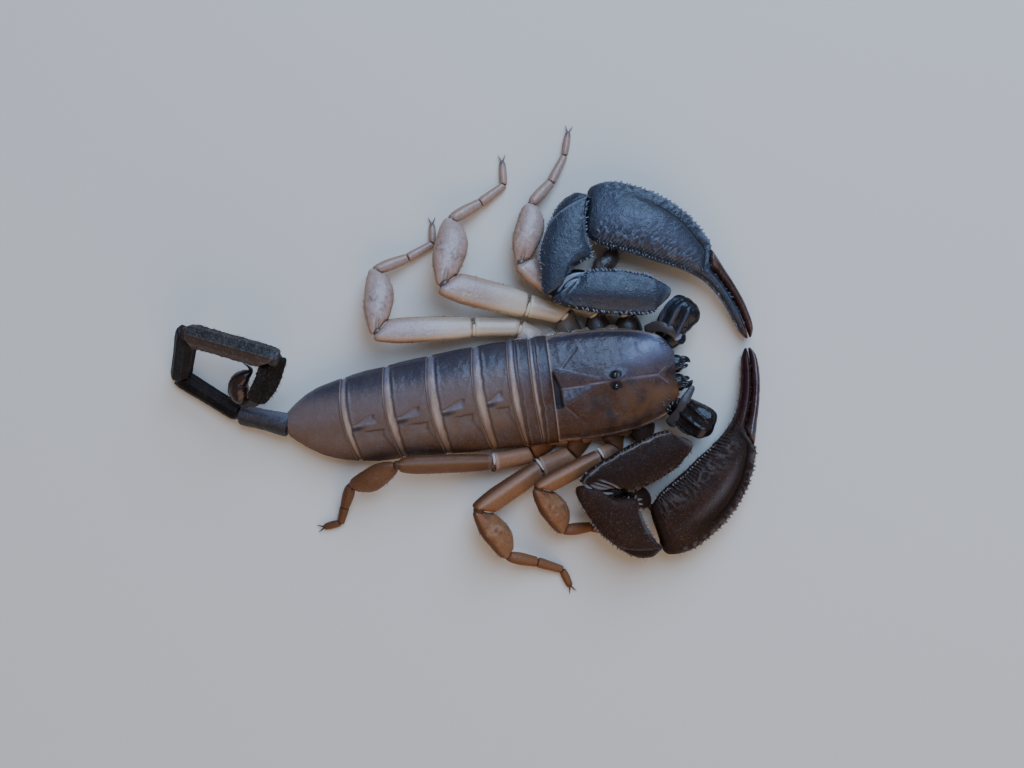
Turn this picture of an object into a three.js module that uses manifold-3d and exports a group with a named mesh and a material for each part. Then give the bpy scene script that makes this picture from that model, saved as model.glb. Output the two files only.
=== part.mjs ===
// An adult flat rock scorpion at life size, at rest on a flat floor, with its pincers drawn round in front
// and its tail curled on its side. Millimetres. +X is the animal's left, -Y is forward and +Z is up. The
// origin is on the floor, below the middle of everything.
//
// While it is built, the body is laid out from the middle of the carapace's rear margin, at floor level.

import * as THREE from "three";
import { mergeVertices } from "three/addons/utils/BufferGeometryUtils.js";
import Module from "manifold-3d";

const wasm = await Module();
wasm.setup();

// ---------------------------------------------------------------- driving dimensions

const JOINT_GAP = 0.3; // clear space between two hard pieces
const EYE_GAP = 0.12; // clear space round a lens in its socket

const BODY_SIDES = 20; // facets round the trunk
const LIMB_SIDES = 8;
const PALP_SIDES = 12;
const TAIL_SIDES = 10;

const BODY_SQUARE = 2.4; // 2 is an ellipse, and more is boxier
const LIMB_SQUARE = 2.3;

// Trunk, each as [distance behind the carapace's rear margin, value].
const TRUNK_HALF_WIDTH = [
  [-18.7, 3.2], [-17, 5.5], [-15.5, 6.3], [-13, 7.2], [-10, 7.7], [-6, 8.0], [0, 7.95], [12, 7.7], [18, 7.4],
  [24, 7.0], [30, 6.5], [33, 5.9], [36, 4.8], [38, 3.5], [40.1, 1.7],
];
const TRUNK_TOP = [
  [-18.7, 5.1], [-15, 5.7], [-10, 6.3], [0, 6.4], [15, 6.4], [28, 5.8], [36, 4.9], [40.1, 4.2],
];
const TRUNK_EDGE = [[-18.7, 4.6], [-14, 3.8], [0, 3.5], [30, 3.2], [40.1, 3.0]];
const TRUNK_BOTTOM = [
  [-18.7, 4.1], [-14, 3.0], [0, 2.8], [4.5, 2.6], [7, 1.4], [30, 0.9], [36, 1.4], [40.1, 2.0],
];
const TRUNK_SWAY = [[10, 0], [22, -0.3], [32, -0.7], [40.1, -0.3]]; // sideways

const CARAPACE_LENGTH = 18.7;
const FRONT_NOTCH = { depth: 1.3, halfWidth: 0.9, reach: 3 };
const TERGITE_ENDS = [0.15, 2.9, 6.2, 11.6, 18.5, 25.1, 31.7, 40.1]; // behind the carapace's rear margin
const TERGITE_BOW = 1.0; // the middle of a tergite's rear edge lies this far behind its ends
const TERGITE_SLANT = 0.5; // and its left end this far behind its middle, past the bow

const EYE_STATION = -9.4;
const TUBERCLE = { halfWidth: 1.25, halfLength: 1.7, halfHeight: 0.75, middleHeight: 6.25 };
const MEDIAN_EYE = { radius: 0.38, spread: 0.85, height: 6.7 };
const LATERAL_EYE = {
  radius: 0.32, pitch: 0.42, slope: 0.42, drop: 0.06, count: 3, front: -17.5, side: 4.45, height: 4.95,
};

const COXAL_PLATE = {
  stations: [[-16.5, 3.6], [-14, 5.4], [-8, 6.3], [-1, 6.2], [3, 4.6], [4.8, 2.2]],
  bottom: 0.5,
  top: 2.3,
};
const PECTINE = { root: [1.0, 5.9, 0.62], length: 6.4, heading: 112, width: 2.0, thickness: 0.6, teeth: 8 };
const CHELICERA = { root: [1.65, -17.2, 2.95], length: 4.3, halfWidth: 1.35, halfHeight: 0.95, toeIn: 4 };

// Tail, from the trunk's end: [way over the floor, heading, height of the far joint], then width and height
// of the section, and roll, the turn of its upper side towards the inside of the curl.
const TAIL_ROOT = [-0.3, 40.4, 3.0];
const TAIL = [
  { step: [7.4, 160, 1.9], width: 3.0, height: 3.3, roll: 45 },
  { step: [10.7, 141.5, 1.15], width: 2.4, height: 2.8, roll: 62 },
  { step: [6.9, 58.5, 9.4], width: 2.6, height: 3.3, roll: 78 },
  { step: [13.7, -23, 11.8], width: 2.8, height: 3.5, roll: 62 },
  { step: [7.4, -131, 5.4], width: 2.9, height: 4.1, roll: 78 },
];
// Telson: stations along its middle, each [left, back, height, section width, section height].
const TELSON = [
  [3.7, 46.15, 4.2, 1.2, 1.2], [4.6, 46.5, 4.4, 2.3, 2.6], [5.8, 46.6, 4.7, 2.8, 3.2],
  [7.0, 46.2, 5.0, 2.6, 3.0], [7.8, 45.2, 5.5, 1.7, 2.0], [8.25, 44.4, 5.7, 0.9, 1.0],
  [8.6, 44.2, 5.8, 0.7, 0.7], [9.1, 44.5, 5.9, 0.6, 0.6], [9.5, 45.1, 6.0, 0.5, 0.5],
];
const TELSON_ROLL = 70;

// Pincer arms, each length as [way over the floor, heading, height of the far joint]. Headings and places are
// those of a left arm, and a right arm mirrors them. turn is the palm's turn inward, in degrees a millimetre.
const PALPS = {
  left: {
    side: 1,
    coxa: [5.0, -16.7, 2.5],
    trochanter: [7.6, 42, 5.6],
    femurRoot: [11.2, -18.8, 6.2],
    femur: [16.6, 169.5, 6.6],
    patella: [15.4, 65, 5.3],
    palmRoot: [25.4, -9.6, 5.0],
    palm: -12.5,
    turn: 2.08,
  },
  right: {
    side: -1,
    coxa: [4.6, -16.9, 2.5],
    trochanter: [7.4, 32, 5.6],
    femurRoot: [9.75, -18.85, 6.2],
    femur: [15.9, 161, 6.6],
    patella: [14.4, 49, 5.3],
    palmRoot: [22.7, -14.0, 5.0],
    palm: -22.4,
    turn: 2.18,
  },
};
// Sections along a length: [share of it, half width on the rear or outer side, half width on the other side,
// half height].
const PALP_TROCHANTER = [
  [0, 1.2, 1.2, 0.8], [0.15, 1.5, 1.6, 1.0], [0.4, 1.9, 2.5, 1.6], [0.8, 1.9, 2.6, 1.7], [1, 1.2, 1.6, 1.2],
];
const PALP_FEMUR = [
  [0, 1.5, 1.5, 1.4], [0.07, 2.3, 2.1, 1.8], [0.25, 3.2, 2.7, 2.1], [0.55, 3.5, 2.8, 2.2],
  [0.8, 3.0, 2.4, 2.1], [0.93, 1.9, 1.7, 1.7], [1, 1.2, 1.2, 1.3],
];
const PALP_PATELLA = [
  [0, 1.2, 0.9, 1.3], [0.1, 2.6, 0.8, 1.8], [0.24, 3.9, 0.9, 2.1], [0.36, 4.3, 2.4, 2.2],
  [0.43, 4.4, 3.3, 2.2], [0.55, 4.3, 2.0, 2.2], [0.75, 4.0, 0.7, 2.1], [0.9, 3.1, 0.25, 1.8],
  [1, 1.6, 0.15, 1.4],
];
const CHELA = {
  length: 31.8,
  roll: 8, // its outer edge lies lower
  drop: 3.5, // from wrist to fingertip
  fingerGap: 0.3,
  fingerRoot: 18.9, // where the movable finger begins, along the palm's middle line
  fingerCut: 42, // degrees that its root is cut aslant
  rootCut: -12, // heading of its root's face
  width: [
    [-0.4, 7.9], [1.2, 9.4], [4.3, 9.9], [8, 9.6], [11.9, 8.6], [14.7, 7.1], [17.1, 5.6], [19.3, 4.2],
    [21.4, 3.3], [24.2, 2.9], [27.5, 2.7], [30.4, 2.2], [31.8, 1.4],
  ],
  height: [
    [-0.4, 2.6], [1.2, 3.8], [4.3, 5.0], [8, 5.5], [11.9, 5.2], [14.7, 4.6], [17.1, 3.9], [19.3, 3.2],
    [21.4, 2.6], [24.2, 2.3], [27.5, 2.0], [30.4, 1.5], [31.8, 0.9],
  ],
};

// Legs, front to back: [way over the floor, heading, height of the far joint] for each length of the leg.
const LEG_WIDTHS = [
  { femur: 2.6, patella: 3.0, tibia: 1.4 },
  { femur: 3.4, patella: 4.4, tibia: 1.8 },
  { femur: 4.0, patella: 5.0, tibia: 1.9 },
  { femur: 3.4, patella: 4.5, tibia: 1.8 },
];
const LEG_FLATNESS = 0.66; // thickness over width of a thigh
const LEGS = {
  left_1: {
    side: 1, roll: 5, hip: [7.0, -12.6, 1.6],
    coxa: [3.0, 86, 2.2], trochanter: [3.0, 136, 2.4], femur: [4.6, 118, 2.8], patella: [5.6, 47, 1.9],
    tibia: [3.6, 34, 1.2], basitarsus: [3.2, 12, 0.5], tarsus: [2.7, -10, 0.25],
  },
  left_2: {
    side: 1, roll: 8, hip: [7.2, -8.2, 1.6],
    coxa: [3.4, 94, 2.3], trochanter: [3.9, 142, 2.6], femur: [9.6, 138, 4.3], patella: [9.1, 73, 3.1],
    tibia: [4.5, 41, 1.6], basitarsus: [4.7, 56, 0.6], tarsus: [3.8, 74, 0.3],
  },
  left_3: {
    side: 1, roll: 10, hip: [7.2, -3.6, 1.6],
    coxa: [3.8, 92, 2.7], trochanter: [5.9, 161, 3.6], femur: [12.7, 159, 6.6], patella: [10.0, 78, 3.4],
    tibia: [5.1, 24, 1.7], basitarsus: [4.6, 31, 0.6], tarsus: [3.8, 87, 0.3],
  },
  left_4: {
    side: 1, roll: 10, hip: [7.0, 1.4, 1.6],
    coxa: [3.7, 128, 2.6], trochanter: [7.0, 173, 3.4], femur: [14.2, 176, 6.0], patella: [9.4, 86, 3.3],
    tibia: [5.1, 15, 1.7], basitarsus: [4.4, 24, 0.6], tarsus: [3.2, 85, 0.3],
  },
  right_1: {
    side: -1, roll: 5, hip: [7.0, -12.6, 1.6],
    coxa: [3.0, 86, 2.2], trochanter: [3.0, 136, 2.4], femur: [4.2, 122, 2.8], patella: [5.6, 44, 1.9],
    tibia: [3.6, 36, 1.2], basitarsus: [3.2, 20, 0.5], tarsus: [2.7, 0, 0.25],
  },
  right_2: {
    side: -1, roll: 38, hip: [7.2, -8.2, 1.6],
    coxa: [3.1, 88, 2.6], trochanter: [2.5, 164, 3.6], femur: [10.4, 161, 6.4], patella: [7.6, 67, 3.0],
    tibia: [4.2, 2, 1.6], basitarsus: [4.0, 20, 0.6], tarsus: [3.2, 30, 0.3],
  },
  right_3: {
    side: -1, roll: 38, hip: [7.2, -3.6, 1.6],
    coxa: [3.6, 118, 2.3], trochanter: [5.3, 166, 2.7], femur: [11.1, 154, 5.6], patella: [8.4, 66, 3.1],
    tibia: [4.5, 20, 1.7], basitarsus: [4.1, 26, 0.6], tarsus: [3.0, 72, 0.3],
  },
  right_4: {
    side: -1, roll: 38, hip: [7.0, 1.4, 1.6],
    coxa: [3.7, 140, 2.6], trochanter: [6.0, 176, 3.4], femur: [14.2, 186, 6.6], patella: [7.9, 163, 3.4],
    tibia: [3.5, 116, 1.6], basitarsus: [2.6, 114, 0.6], tarsus: [2.8, 172, 0.3],
  },
};

// ---------------------------------------------------------------- materials

function finish(color, roughness, metalness = 0) {
  return new THREE.MeshStandardMaterial({ color, roughness, metalness });
}
const finishes = {
  shell: () => finish(0x3a322f, 0.42),
  pincer: () => finish(0x31302f, 0.5),
  finger: () => finish(0x2a1719, 0.4),
  tail: () => finish(0x2b2826, 0.48),
  sting: () => finish(0x2e1612, 0.35),
  leg: () => finish(0x8d7d69, 0.45),
  lens: () => finish(0x080808, 0.1),
  belly: () => finish(0x6a5a48, 0.5),
};

// ---------------------------------------------------------------- geometry helpers

// The value of a table of [place, value] at a place, on a smooth line through its points.
function smooth(table, place) {
  const last = table.length - 1;
  if (place <= table[0][0]) return table[0][1];
  if (place >= table[last][0]) return table[last][1];
  const i = table.findIndex(([x]) => x > place) - 1;
  const slope = (k) => {
    const [before, after] = [table[Math.max(k - 1, 0)], table[Math.min(k + 1, last)]];
    return (after[1] - before[1]) / (after[0] - before[0]);
  };
  const [[x0, y0], [x1, y1]] = [table[i], table[i + 1]];
  const span = x1 - x0;
  const t = (place - x0) / span;
  const rise = t * t * (3 - 2 * t);
  return (
    y0 + (y1 - y0) * rise + slope(i) * span * t * (1 - t) ** 2 - slope(i + 1) * span * t * t * (1 - t)
  );
}

// A point of a rounded section, at an angle from its right-hand side.
function oval(angle, right, left, top, bottom, square) {
  const [c, s] = [Math.cos(angle), Math.sin(angle)];
  const bend = (v) => Math.sign(v) * Math.abs(v) ** (2 / square);
  return [bend(c) * (c > 0 ? right : left), bend(s) * (s > 0 ? top : bottom)];
}

// A closed body from a cylinder of rings. rim(ring, angle) places each point of ring number 0 to rings - 1,
// and each end is closed at the middle of its own ring.
function ringBody(rings, sides, rim) {
  const geometry = new THREE.CylinderGeometry(1, 1, 1, sides, rings - 1);
  const middleOf = (ring) => {
    const sum = new THREE.Vector3();
    for (let k = 0; k < sides; k++) sum.add(rim(ring, (2 * Math.PI * k) / sides));
    return sum.divideScalar(sides);
  };
  const ends = [middleOf(0), middleOf(rings - 1)];
  const position = geometry.getAttribute("position");
  for (let i = 0; i < position.count; i++) {
    const [x, z] = [position.getX(i), position.getZ(i)];
    const ring = Math.round((position.getY(i) + 0.5) * (rings - 1));
    const point = Math.hypot(x, z) < 0.5 ? ends[ring > 0 ? 1 : 0] : rim(ring, Math.atan2(z, x));
    position.setXYZ(i, point.x, point.y, point.z);
  }
  return bare(geometry);
}

// Only shared corners and faces are left, as the joins and cuts need.
function bare(geometry) {
  geometry.deleteAttribute("normal");
  geometry.deleteAttribute("uv");
  return mergeVertices(geometry, 1e-4);
}

function solidOf(geometry) {
  const vertProperties = geometry.getAttribute("position").array;
  const triVerts = new Uint32Array(geometry.index.array);
  return new wasm.Manifold(new wasm.Mesh({ numProp: 3, vertProperties, triVerts }));
}

function geometryOf(solid) {
  const { vertProperties, triVerts } = solid.getMesh();
  return new THREE.BufferGeometry()
    .setAttribute("position", new THREE.BufferAttribute(new Float32Array(vertProperties), 3))
    .setIndex(new THREE.BufferAttribute(new Uint32Array(triVerts), 1));
}

const UP = new THREE.Vector3(0, 0, 1);
const radians = THREE.MathUtils.degToRad;

// A level direction: 0 is forward, and 90 is to the animal's left.
function heading(angle) {
  return new THREE.Vector3(Math.sin(radians(angle)), -Math.cos(radians(angle)), 0);
}

// The joints of a limb, from its root and a list of [way over the floor, heading, height of the far joint].
function jointsOf(root, steps, side = 1) {
  const joints = [new THREE.Vector3(root[0] * side, root[1], root[2])];
  for (const [way, angle, height] of steps) {
    const next = joints.at(-1).clone().addScaledVector(heading(angle * side), way);
    joints.push(next.setZ(height));
  }
  return joints;
}

// The plane that two lengths of a limb share at their joint, as its normal.
function mitre(before, joint, after) {
  const into = joint.clone().sub(before).normalize();
  return after.clone().sub(joint).normalize().add(into).normalize();
}

// A station of a limb: its middle, direction and section, and the plane of its cut. slide is how far the ring
// leans towards that plane, from 0 to 1.
function station(at, along, roll, right, left, top, bottom, cut = along, slide = 1) {
  const up = UP.clone().addScaledVector(along, -UP.dot(along)).normalize();
  up.applyAxisAngle(along, roll);
  return { at, along, up, across: along.clone().cross(up), right, left, top, bottom, cut, slide };
}

function limb(stations, sides, square = LIMB_SQUARE) {
  return ringBody(stations.length, sides, (ring, angle) => {
    const s = stations[ring];
    const [x, z] = oval(angle, s.right, s.left, s.top, s.bottom, square);
    const offset = s.across.clone().multiplyScalar(x).addScaledVector(s.up, z);
    const lean = (-offset.dot(s.cut) / s.along.dot(s.cut)) * s.slide;
    return offset.addScaledVector(s.along, lean).add(s.at);
  });
}

// One length of a limb between two joints. profile is [share, half width to the right, to the left, half
// height], seen along a left limb. Each end is cut on its own plane and stands back from the joint by half
// a gap.
function lengthOfLimb(from, to, profile, roll, startCut, endCut, sides, side = 1) {
  const along = to.clone().sub(from).normalize();
  const cuts = [startCut ?? along, endCut ?? along];
  const ends = [from, to].map((joint, k) =>
    joint.clone().addScaledVector(along, ((k ? -1 : 1) * JOINT_GAP) / 2 / along.dot(cuts[k])),
  );
  const span = ends[0].distanceTo(ends[1]);
  const sections = profile.map(([share, right, left, half]) => {
    const [starboard, port] = side > 0 ? [right, left] : [left, right];
    const at = ends[0].clone().lerp(ends[1], share);
    return { away: [share * span, (1 - share) * span], at, starboard, port, half };
  });
  // How far from an end its rings still lean, so that the inside of the bend stays clear of the next length.
  const across = along.clone().cross(UP);
  const reach = cuts.map((cut, k) => {
    const slope = Math.tan(along.angleTo(cut));
    const inner = across.dot(cut) * (k ? -1 : 1) < 0 ? "starboard" : "port";
    const leans = sections.map((section) => Math.max(section[inner], section.half) * slope);
    return Math.max(1e-3, ...leans.filter((lean, i) => sections[i].away[k] < lean));
  });
  const stations = sections.map(({ away, at, starboard, port, half }) => {
    const k = away[0] < away[1] ? 0 : 1;
    const slide = Math.max(0, 1 - away[k] / reach[k]);
    return station(at, along, roll, starboard, port, half, half, cuts[k], slide);
  });
  return limb(stations, sides);
}

// Feet and whatever else reaches the floor lie on small flats.
function settle(geometry) {
  const position = geometry.getAttribute("position");
  for (let i = 0; i < position.count; i++) position.setZ(i, Math.max(0, position.getZ(i)));
  return geometry;
}

const scorpion = new THREE.Group();
const animal = new THREE.Group(); // moved as one to put the origin below the middle
scorpion.add(animal);

function add(name, geometry, material) {
  const mesh = new THREE.Mesh(geometry, material);
  mesh.name = name;
  animal.add(mesh);
}

// ---------------------------------------------------------------- trunk

function trunkPoint(y, angle, lean) {
  const [half, edge] = [smooth(TRUNK_HALF_WIDTH, y), smooth(TRUNK_EDGE, y)];
  const [top, bottom] = [smooth(TRUNK_TOP, y) - edge, edge - smooth(TRUNK_BOTTOM, y)];
  const [x, z] = oval(angle, half, half, top, bottom, BODY_SQUARE);
  return new THREE.Vector3(x + smooth(TRUNK_SWAY, y), y + lean(x / half), edge + z);
}

function carapace() {
  const rows = [-18.7, -18.2, -17.2, -15.6, -13.2, -10.2, -7, -3.2, -JOINT_GAP / 2];
  const plate = ringBody(rows.length, BODY_SIDES, (ring, angle) => {
    const point = trunkPoint(rows[ring], angle, () => 0);
    const near = Math.max(0, 1 - (rows[ring] + CARAPACE_LENGTH) / FRONT_NOTCH.reach);
    point.y += FRONT_NOTCH.depth * near * Math.exp(-((point.x / FRONT_NOTCH.halfWidth) ** 2));
    return point;
  });
  const tubercle = bare(new THREE.SphereGeometry(1, 12, 8));
  tubercle.scale(TUBERCLE.halfWidth, TUBERCLE.halfLength, TUBERCLE.halfHeight);
  tubercle.translate(0, EYE_STATION, TUBERCLE.middleHeight);
  let solid = solidOf(plate).add(solidOf(tubercle));
  for (const side of [1, -1]) {
    solid = solid.subtract(medianEye(side, EYE_GAP)).subtract(lateralEyes(side, EYE_GAP));
  }
  return geometryOf(solid);
}

function ball(radius, x, y, z) {
  const geometry = bare(new THREE.SphereGeometry(radius, 8, 6));
  geometry.translate(x, y, z);
  return solidOf(geometry);
}

function medianEye(side, swell = 0) {
  return ball(MEDIAN_EYE.radius + swell, MEDIAN_EYE.spread * side, EYE_STATION, MEDIAN_EYE.height);
}

// Three small lenses in a row along the carapace's front corner.
function lateralEyes(side, swell = 0) {
  const { radius, pitch, slope, drop, count, front, side: out, height } = LATERAL_EYE;
  let row = null;
  for (let k = 0; k < count; k++) {
    const lens = ball(radius + swell, (out + k * slope) * side, front + k * pitch, height - k * drop);
    row = row ? row.add(lens) : lens;
  }
  return row;
}

// One ring of the trunk behind the carapace, its back plate and belly plate together.
function trunkRing(index) {
  const [from, to] = [TERGITE_ENDS[index] + JOINT_GAP / 2, TERGITE_ENDS[index + 1] - JOINT_GAP / 2];
  const rows = index === 6 ? 6 : 3;
  return ringBody(rows, BODY_SIDES, (ring, angle) => {
    const y = from + ((to - from) * ring) / (rows - 1);
    const bow = Math.min(1, y / 8, (40.1 - y) / 8);
    return trunkPoint(y, angle, (u) => bow * (TERGITE_SLANT * u - TERGITE_BOW * u * u));
  });
}

function coxalPlate() {
  const { stations, bottom, top } = COXAL_PLATE;
  return ringBody(stations.length, 12, (ring, angle) => {
    const [y, half] = stations[ring];
    const [x, z] = oval(angle, half, half, (top - bottom) / 2, (top - bottom) / 2, 3);
    return new THREE.Vector3(x, y, (top + bottom) / 2 + z);
  });
}

// A comb organ: a flat spine with a row of teeth along its rear edge.
function pectine(side) {
  const { root, length, heading: angle, width, thickness, teeth } = PECTINE;
  const outline = new THREE.Shape();
  outline.moveTo(0, -width / 2);
  outline.lineTo(length * 0.85, -width / 3);
  outline.quadraticCurveTo(length, -width / 4, length, 0);
  const pitch = length / teeth;
  for (let k = 0; k < teeth; k++) {
    const x = length - k * pitch;
    outline.lineTo(x - pitch * 0.2, width / 2);
    outline.lineTo(x - pitch * 0.7, width / 2);
    outline.lineTo(x - pitch, 0.1 * width);
  }
  outline.closePath();
  const settings = { depth: thickness, bevelEnabled: false, curveSegments: 3 };
  const geometry = bare(new THREE.ExtrudeGeometry(outline, settings));
  const spin = new THREE.Matrix4().makeRotationZ(radians(angle - 90));
  const flip = new THREE.Matrix4().makeScale(side, 1, 1);
  geometry.translate(0, 0, -thickness / 2).applyMatrix4(spin);
  geometry.translate(root[0], root[1], root[2]).applyMatrix4(flip);
  return side > 0 ? geometry : turnedFaces(geometry);
}

// A mirrored shape needs its corners in the other order to face out.
function turnedFaces(geometry) {
  const corners = geometry.index.array;
  for (let i = 0; i < corners.length; i += 3) {
    [corners[i + 1], corners[i + 2]] = [corners[i + 2], corners[i + 1]];
  }
  return geometry;
}

function chelicera(side) {
  const { root, length, halfWidth, halfHeight, toeIn } = CHELICERA;
  const profile = [
    [0, 0.7, 0.8], [0.2, 0.92, 0.9], [0.45, 1, 1.1], [0.62, 0.95, 1.2], [0.8, 0.6, 0.9], [1, 0.3, 0.4],
  ];
  const from = new THREE.Vector3(root[0] * side, root[1], root[2]);
  const along = heading(-toeIn * side);
  const stations = profile.map(([share, wide, high]) => {
    const at = from.clone().addScaledVector(along, share * length);
    const half = halfWidth * wide;
    return station(at, along, 0, half, half, halfHeight * high, halfHeight * high);
  });
  return limb(stations, LIMB_SIDES);
}

add("carapace", carapace(), finishes.shell());
for (const [name, side] of [["left", 1], ["right", -1]]) {
  add(`median_eye_${name}`, geometryOf(medianEye(side)), finishes.lens());
  add(`lateral_eyes_${name}`, geometryOf(lateralEyes(side)), finishes.lens());
  add(`chelicera_${name}`, chelicera(side), finishes.pincer());
  add(`pectine_${name}`, pectine(side), finishes.belly());
}
add("coxal_plate", coxalPlate(), finishes.belly());
for (let index = 0; index < 7; index++) add(`trunk_ring_${index + 1}`, trunkRing(index), finishes.shell());

// ---------------------------------------------------------------- tail

const tailJoints = jointsOf(TAIL_ROOT, TAIL.map((length) => length.step));
TAIL.forEach(({ width, height, roll }, index) => {
  const [from, to] = [tailJoints[index], tailJoints[index + 1]];
  const startCut = index > 0 ? mitre(tailJoints[index - 1], from, to) : undefined;
  const endCut = index < TAIL.length - 1 ? mitre(from, to, tailJoints[index + 2]) : undefined;
  const profile = [[0, 0.86], [0.12, 0.97], [0.35, 0.95], [0.65, 0.98], [0.88, 1], [1, 0.88]].map(
    ([share, size]) => [share, (width / 2) * size, (width / 2) * size, (height / 2) * size],
  );
  const geometry = lengthOfLimb(from, to, profile, radians(roll), startCut, endCut, TAIL_SIDES);
  add(`tail_${index + 1}`, settle(geometry), finishes.tail());
});

function telson() {
  const places = TELSON.map(([x, y, z]) => new THREE.Vector3(x, y, z));
  const last = places.length - 1;
  const stations = TELSON.map(([, , , width, height], k) => {
    const along = places[Math.min(k + 1, last)].clone().sub(places[Math.max(k - 1, 0)]).normalize();
    return station(places[k], along, radians(TELSON_ROLL), width / 2, width / 2, height / 2, height / 2);
  });
  return limb(stations, TAIL_SIDES, 2);
}
add("telson", telson(), finishes.sting());

// ---------------------------------------------------------------- pincers

// A chela's middle line is an arc. At each station the two fingers share one width, and edges() says which
// part of it a piece takes, as distances from the middle line to its inner and its outer edge.
function chelaPart({ side, palm, palmRoot, turn }, ways, edges, rootCut) {
  const root = new THREE.Vector3(palmRoot[0] * side, palmRoot[1], palmRoot[2]);
  const bearing = (way) => heading((palm - turn * way) * side);
  const middle = (way) => {
    const point = root.clone();
    const pieces = 24;
    for (let k = 0; k < pieces; k++) point.addScaledVector(bearing(((k + 0.5) * way) / pieces), way / pieces);
    return point.setZ(palmRoot[2] - CHELA.drop * (Math.max(0, way) / CHELA.length) ** 1.6);
  };
  const stations = ways.map((way) => {
    const along = middle(way + 0.1).sub(middle(way - 0.1)).normalize();
    const outward = UP.clone().cross(along).normalize().multiplyScalar(side);
    const [inner, outer] = edges(way, smooth(CHELA.width, way));
    const at = middle(way).addScaledVector(outward, (inner + outer) / 2);
    const [half, high] = [(outer - inner) / 2, smooth(CHELA.height, way) / 2];
    const slide = Math.max(0, 1 - (way - ways[0]) / 5);
    const cut = heading(rootCut * side);
    return station(at, along, radians(-CHELA.roll * side), half, half, high, high, cut, slide);
  });
  return limb(stations, PALP_SIDES);
}

// The palm's outer edge steps in where the movable finger begins, and its own finger keeps the inner half.
function palm(arm) {
  const ways = CHELA.width.map(([way]) => way);
  const edges = (way, width) => {
    const step = THREE.MathUtils.smoothstep(way, CHELA.fingerRoot - 1.8, CHELA.fingerRoot + 0.8);
    return [-width / 2, THREE.MathUtils.lerp(width / 2, -CHELA.fingerGap / 2, step)];
  };
  return chelaPart(arm, ways, edges, CHELA.rootCut);
}

function movableFinger(arm) {
  const beyond = CHELA.width.map(([way]) => way).filter((way) => way > CHELA.fingerRoot + 1);
  const edges = (way, width) => [CHELA.fingerGap / 2, width / 2];
  const rootCut = arm.palm - arm.turn * CHELA.fingerRoot + CHELA.fingerCut;
  return chelaPart(arm, [CHELA.fingerRoot, ...beyond], edges, rootCut);
}

for (const [name, arm] of Object.entries(PALPS)) {
  const { side } = arm;
  const [coxa, trochanter] = jointsOf(arm.coxa, [arm.trochanter], side);
  const [shoulder, elbow, wrist] = jointsOf(arm.femurRoot, [arm.femur, arm.patella], side);
  const shoulderCut = heading((arm.trochanter[1] + 90) * side); // along the trochanter's side
  const elbowCut = mitre(shoulder, elbow, wrist);
  const turned = PALP_PATELLA.map(([share, rear, front, half]) => [share, front, rear, half]);
  const pieces = {
    trochanter: lengthOfLimb(coxa, trochanter, PALP_TROCHANTER, 0, null, null, PALP_SIDES, side),
    femur: lengthOfLimb(shoulder, elbow, PALP_FEMUR, 0, shoulderCut, elbowCut, PALP_SIDES, side),
    patella: lengthOfLimb(elbow, wrist, turned, 0, elbowCut, null, PALP_SIDES, side),
    palm: palm(arm),
    finger: movableFinger(arm),
  };
  for (const [part, geometry] of Object.entries(pieces)) {
    add(`pincer_${name}_${part}`, geometry, part === "finger" ? finishes.finger() : finishes.pincer());
  }
}

// ---------------------------------------------------------------- legs

// The coxa, trochanter and femur are one piece with a waist, then come the patella, and the tibia and foot.
function leg(name, index) {
  const { side, roll, hip, ...lengths } = LEGS[`${name}_${index + 1}`];
  const { femur, patella, tibia } = LEG_WIDTHS[index];
  const joints = jointsOf(hip, Object.values(lengths), side);
  const turn = radians(roll * side);
  const directions = joints.slice(1).map((joint, k) => joint.clone().sub(joints[k]).normalize());
  const bend = (k) => directions[k - 1].clone().add(directions[k]).normalize();

  // A ring some share of the way along a length, where a share of 0 stands on the joint itself.
  const ring = (length, share, width, flatness, cut) => {
    const at = joints[length].clone().lerp(joints[length + 1], share);
    const along = share === 0 && length > 0 && !cut ? bend(length) : directions[length];
    if (cut) at.addScaledVector(along, ((share === 0 ? 1 : -1) * JOINT_GAP) / 2 / along.dot(cut));
    const [half, high] = [width / 2, (width * flatness) / 2];
    return station(at, along, turn, half, half, high, high, cut);
  };
  const [knee, shin] = [bend(3), bend(4)];
  const thigh = [
    ring(0, 0, 2.2, 0.7), ring(1, 0, 2.5, 0.85), ring(1, 0.5, femur * 0.8, 0.85),
    ring(2, 0, femur * 0.62, 0.9),
    ring(2, 0.15, femur * 0.88, LEG_FLATNESS), ring(2, 0.45, femur, LEG_FLATNESS),
    ring(2, 0.78, femur * 0.9, LEG_FLATNESS), ring(2, 1, femur * 0.66, 0.85, knee),
  ];
  const foot = [
    ring(4, 0, tibia * 0.85, 1, shin), ring(4, 0.35, tibia, 0.95), ring(5, 0, tibia * 0.78, 1),
    ring(5, 0.4, tibia * 0.75, 1), ring(6, 0, tibia * 0.6, 1), ring(6, 0.6, tibia * 0.6, 1),
    ring(6, 1, 0.6, 1),
  ];
  const swelling = [[0, 0.42], [0.15, 0.8], [0.4, 1], [0.65, 0.95], [0.87, 0.66], [1, 0.42]];
  const shape = swelling.map(([share, size]) => {
    const half = (patella / 2) * size;
    return [share, half, half, half * (share > 0 && share < 1 ? LEG_FLATNESS : 0.9)];
  });
  add(`leg_${name}_${index + 1}_femur`, limb(thigh, LIMB_SIDES), finishes.leg());
  const middle = lengthOfLimb(joints[3], joints[4], shape, turn, knee, shin, LIMB_SIDES, side);
  add(`leg_${name}_${index + 1}_patella`, middle, finishes.leg());
  add(`leg_${name}_${index + 1}_foot`, settle(limb(foot, LIMB_SIDES)), finishes.leg());
}
for (const name of ["left", "right"]) LEG_WIDTHS.forEach((_, index) => leg(name, index));

// ---------------------------------------------------------------- the origin

const bounds = new THREE.Box3().setFromObject(animal);
const middle = bounds.getCenter(new THREE.Vector3());
animal.position.set(-middle.x, -middle.y, -bounds.min.z);

export default scorpion;
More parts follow.
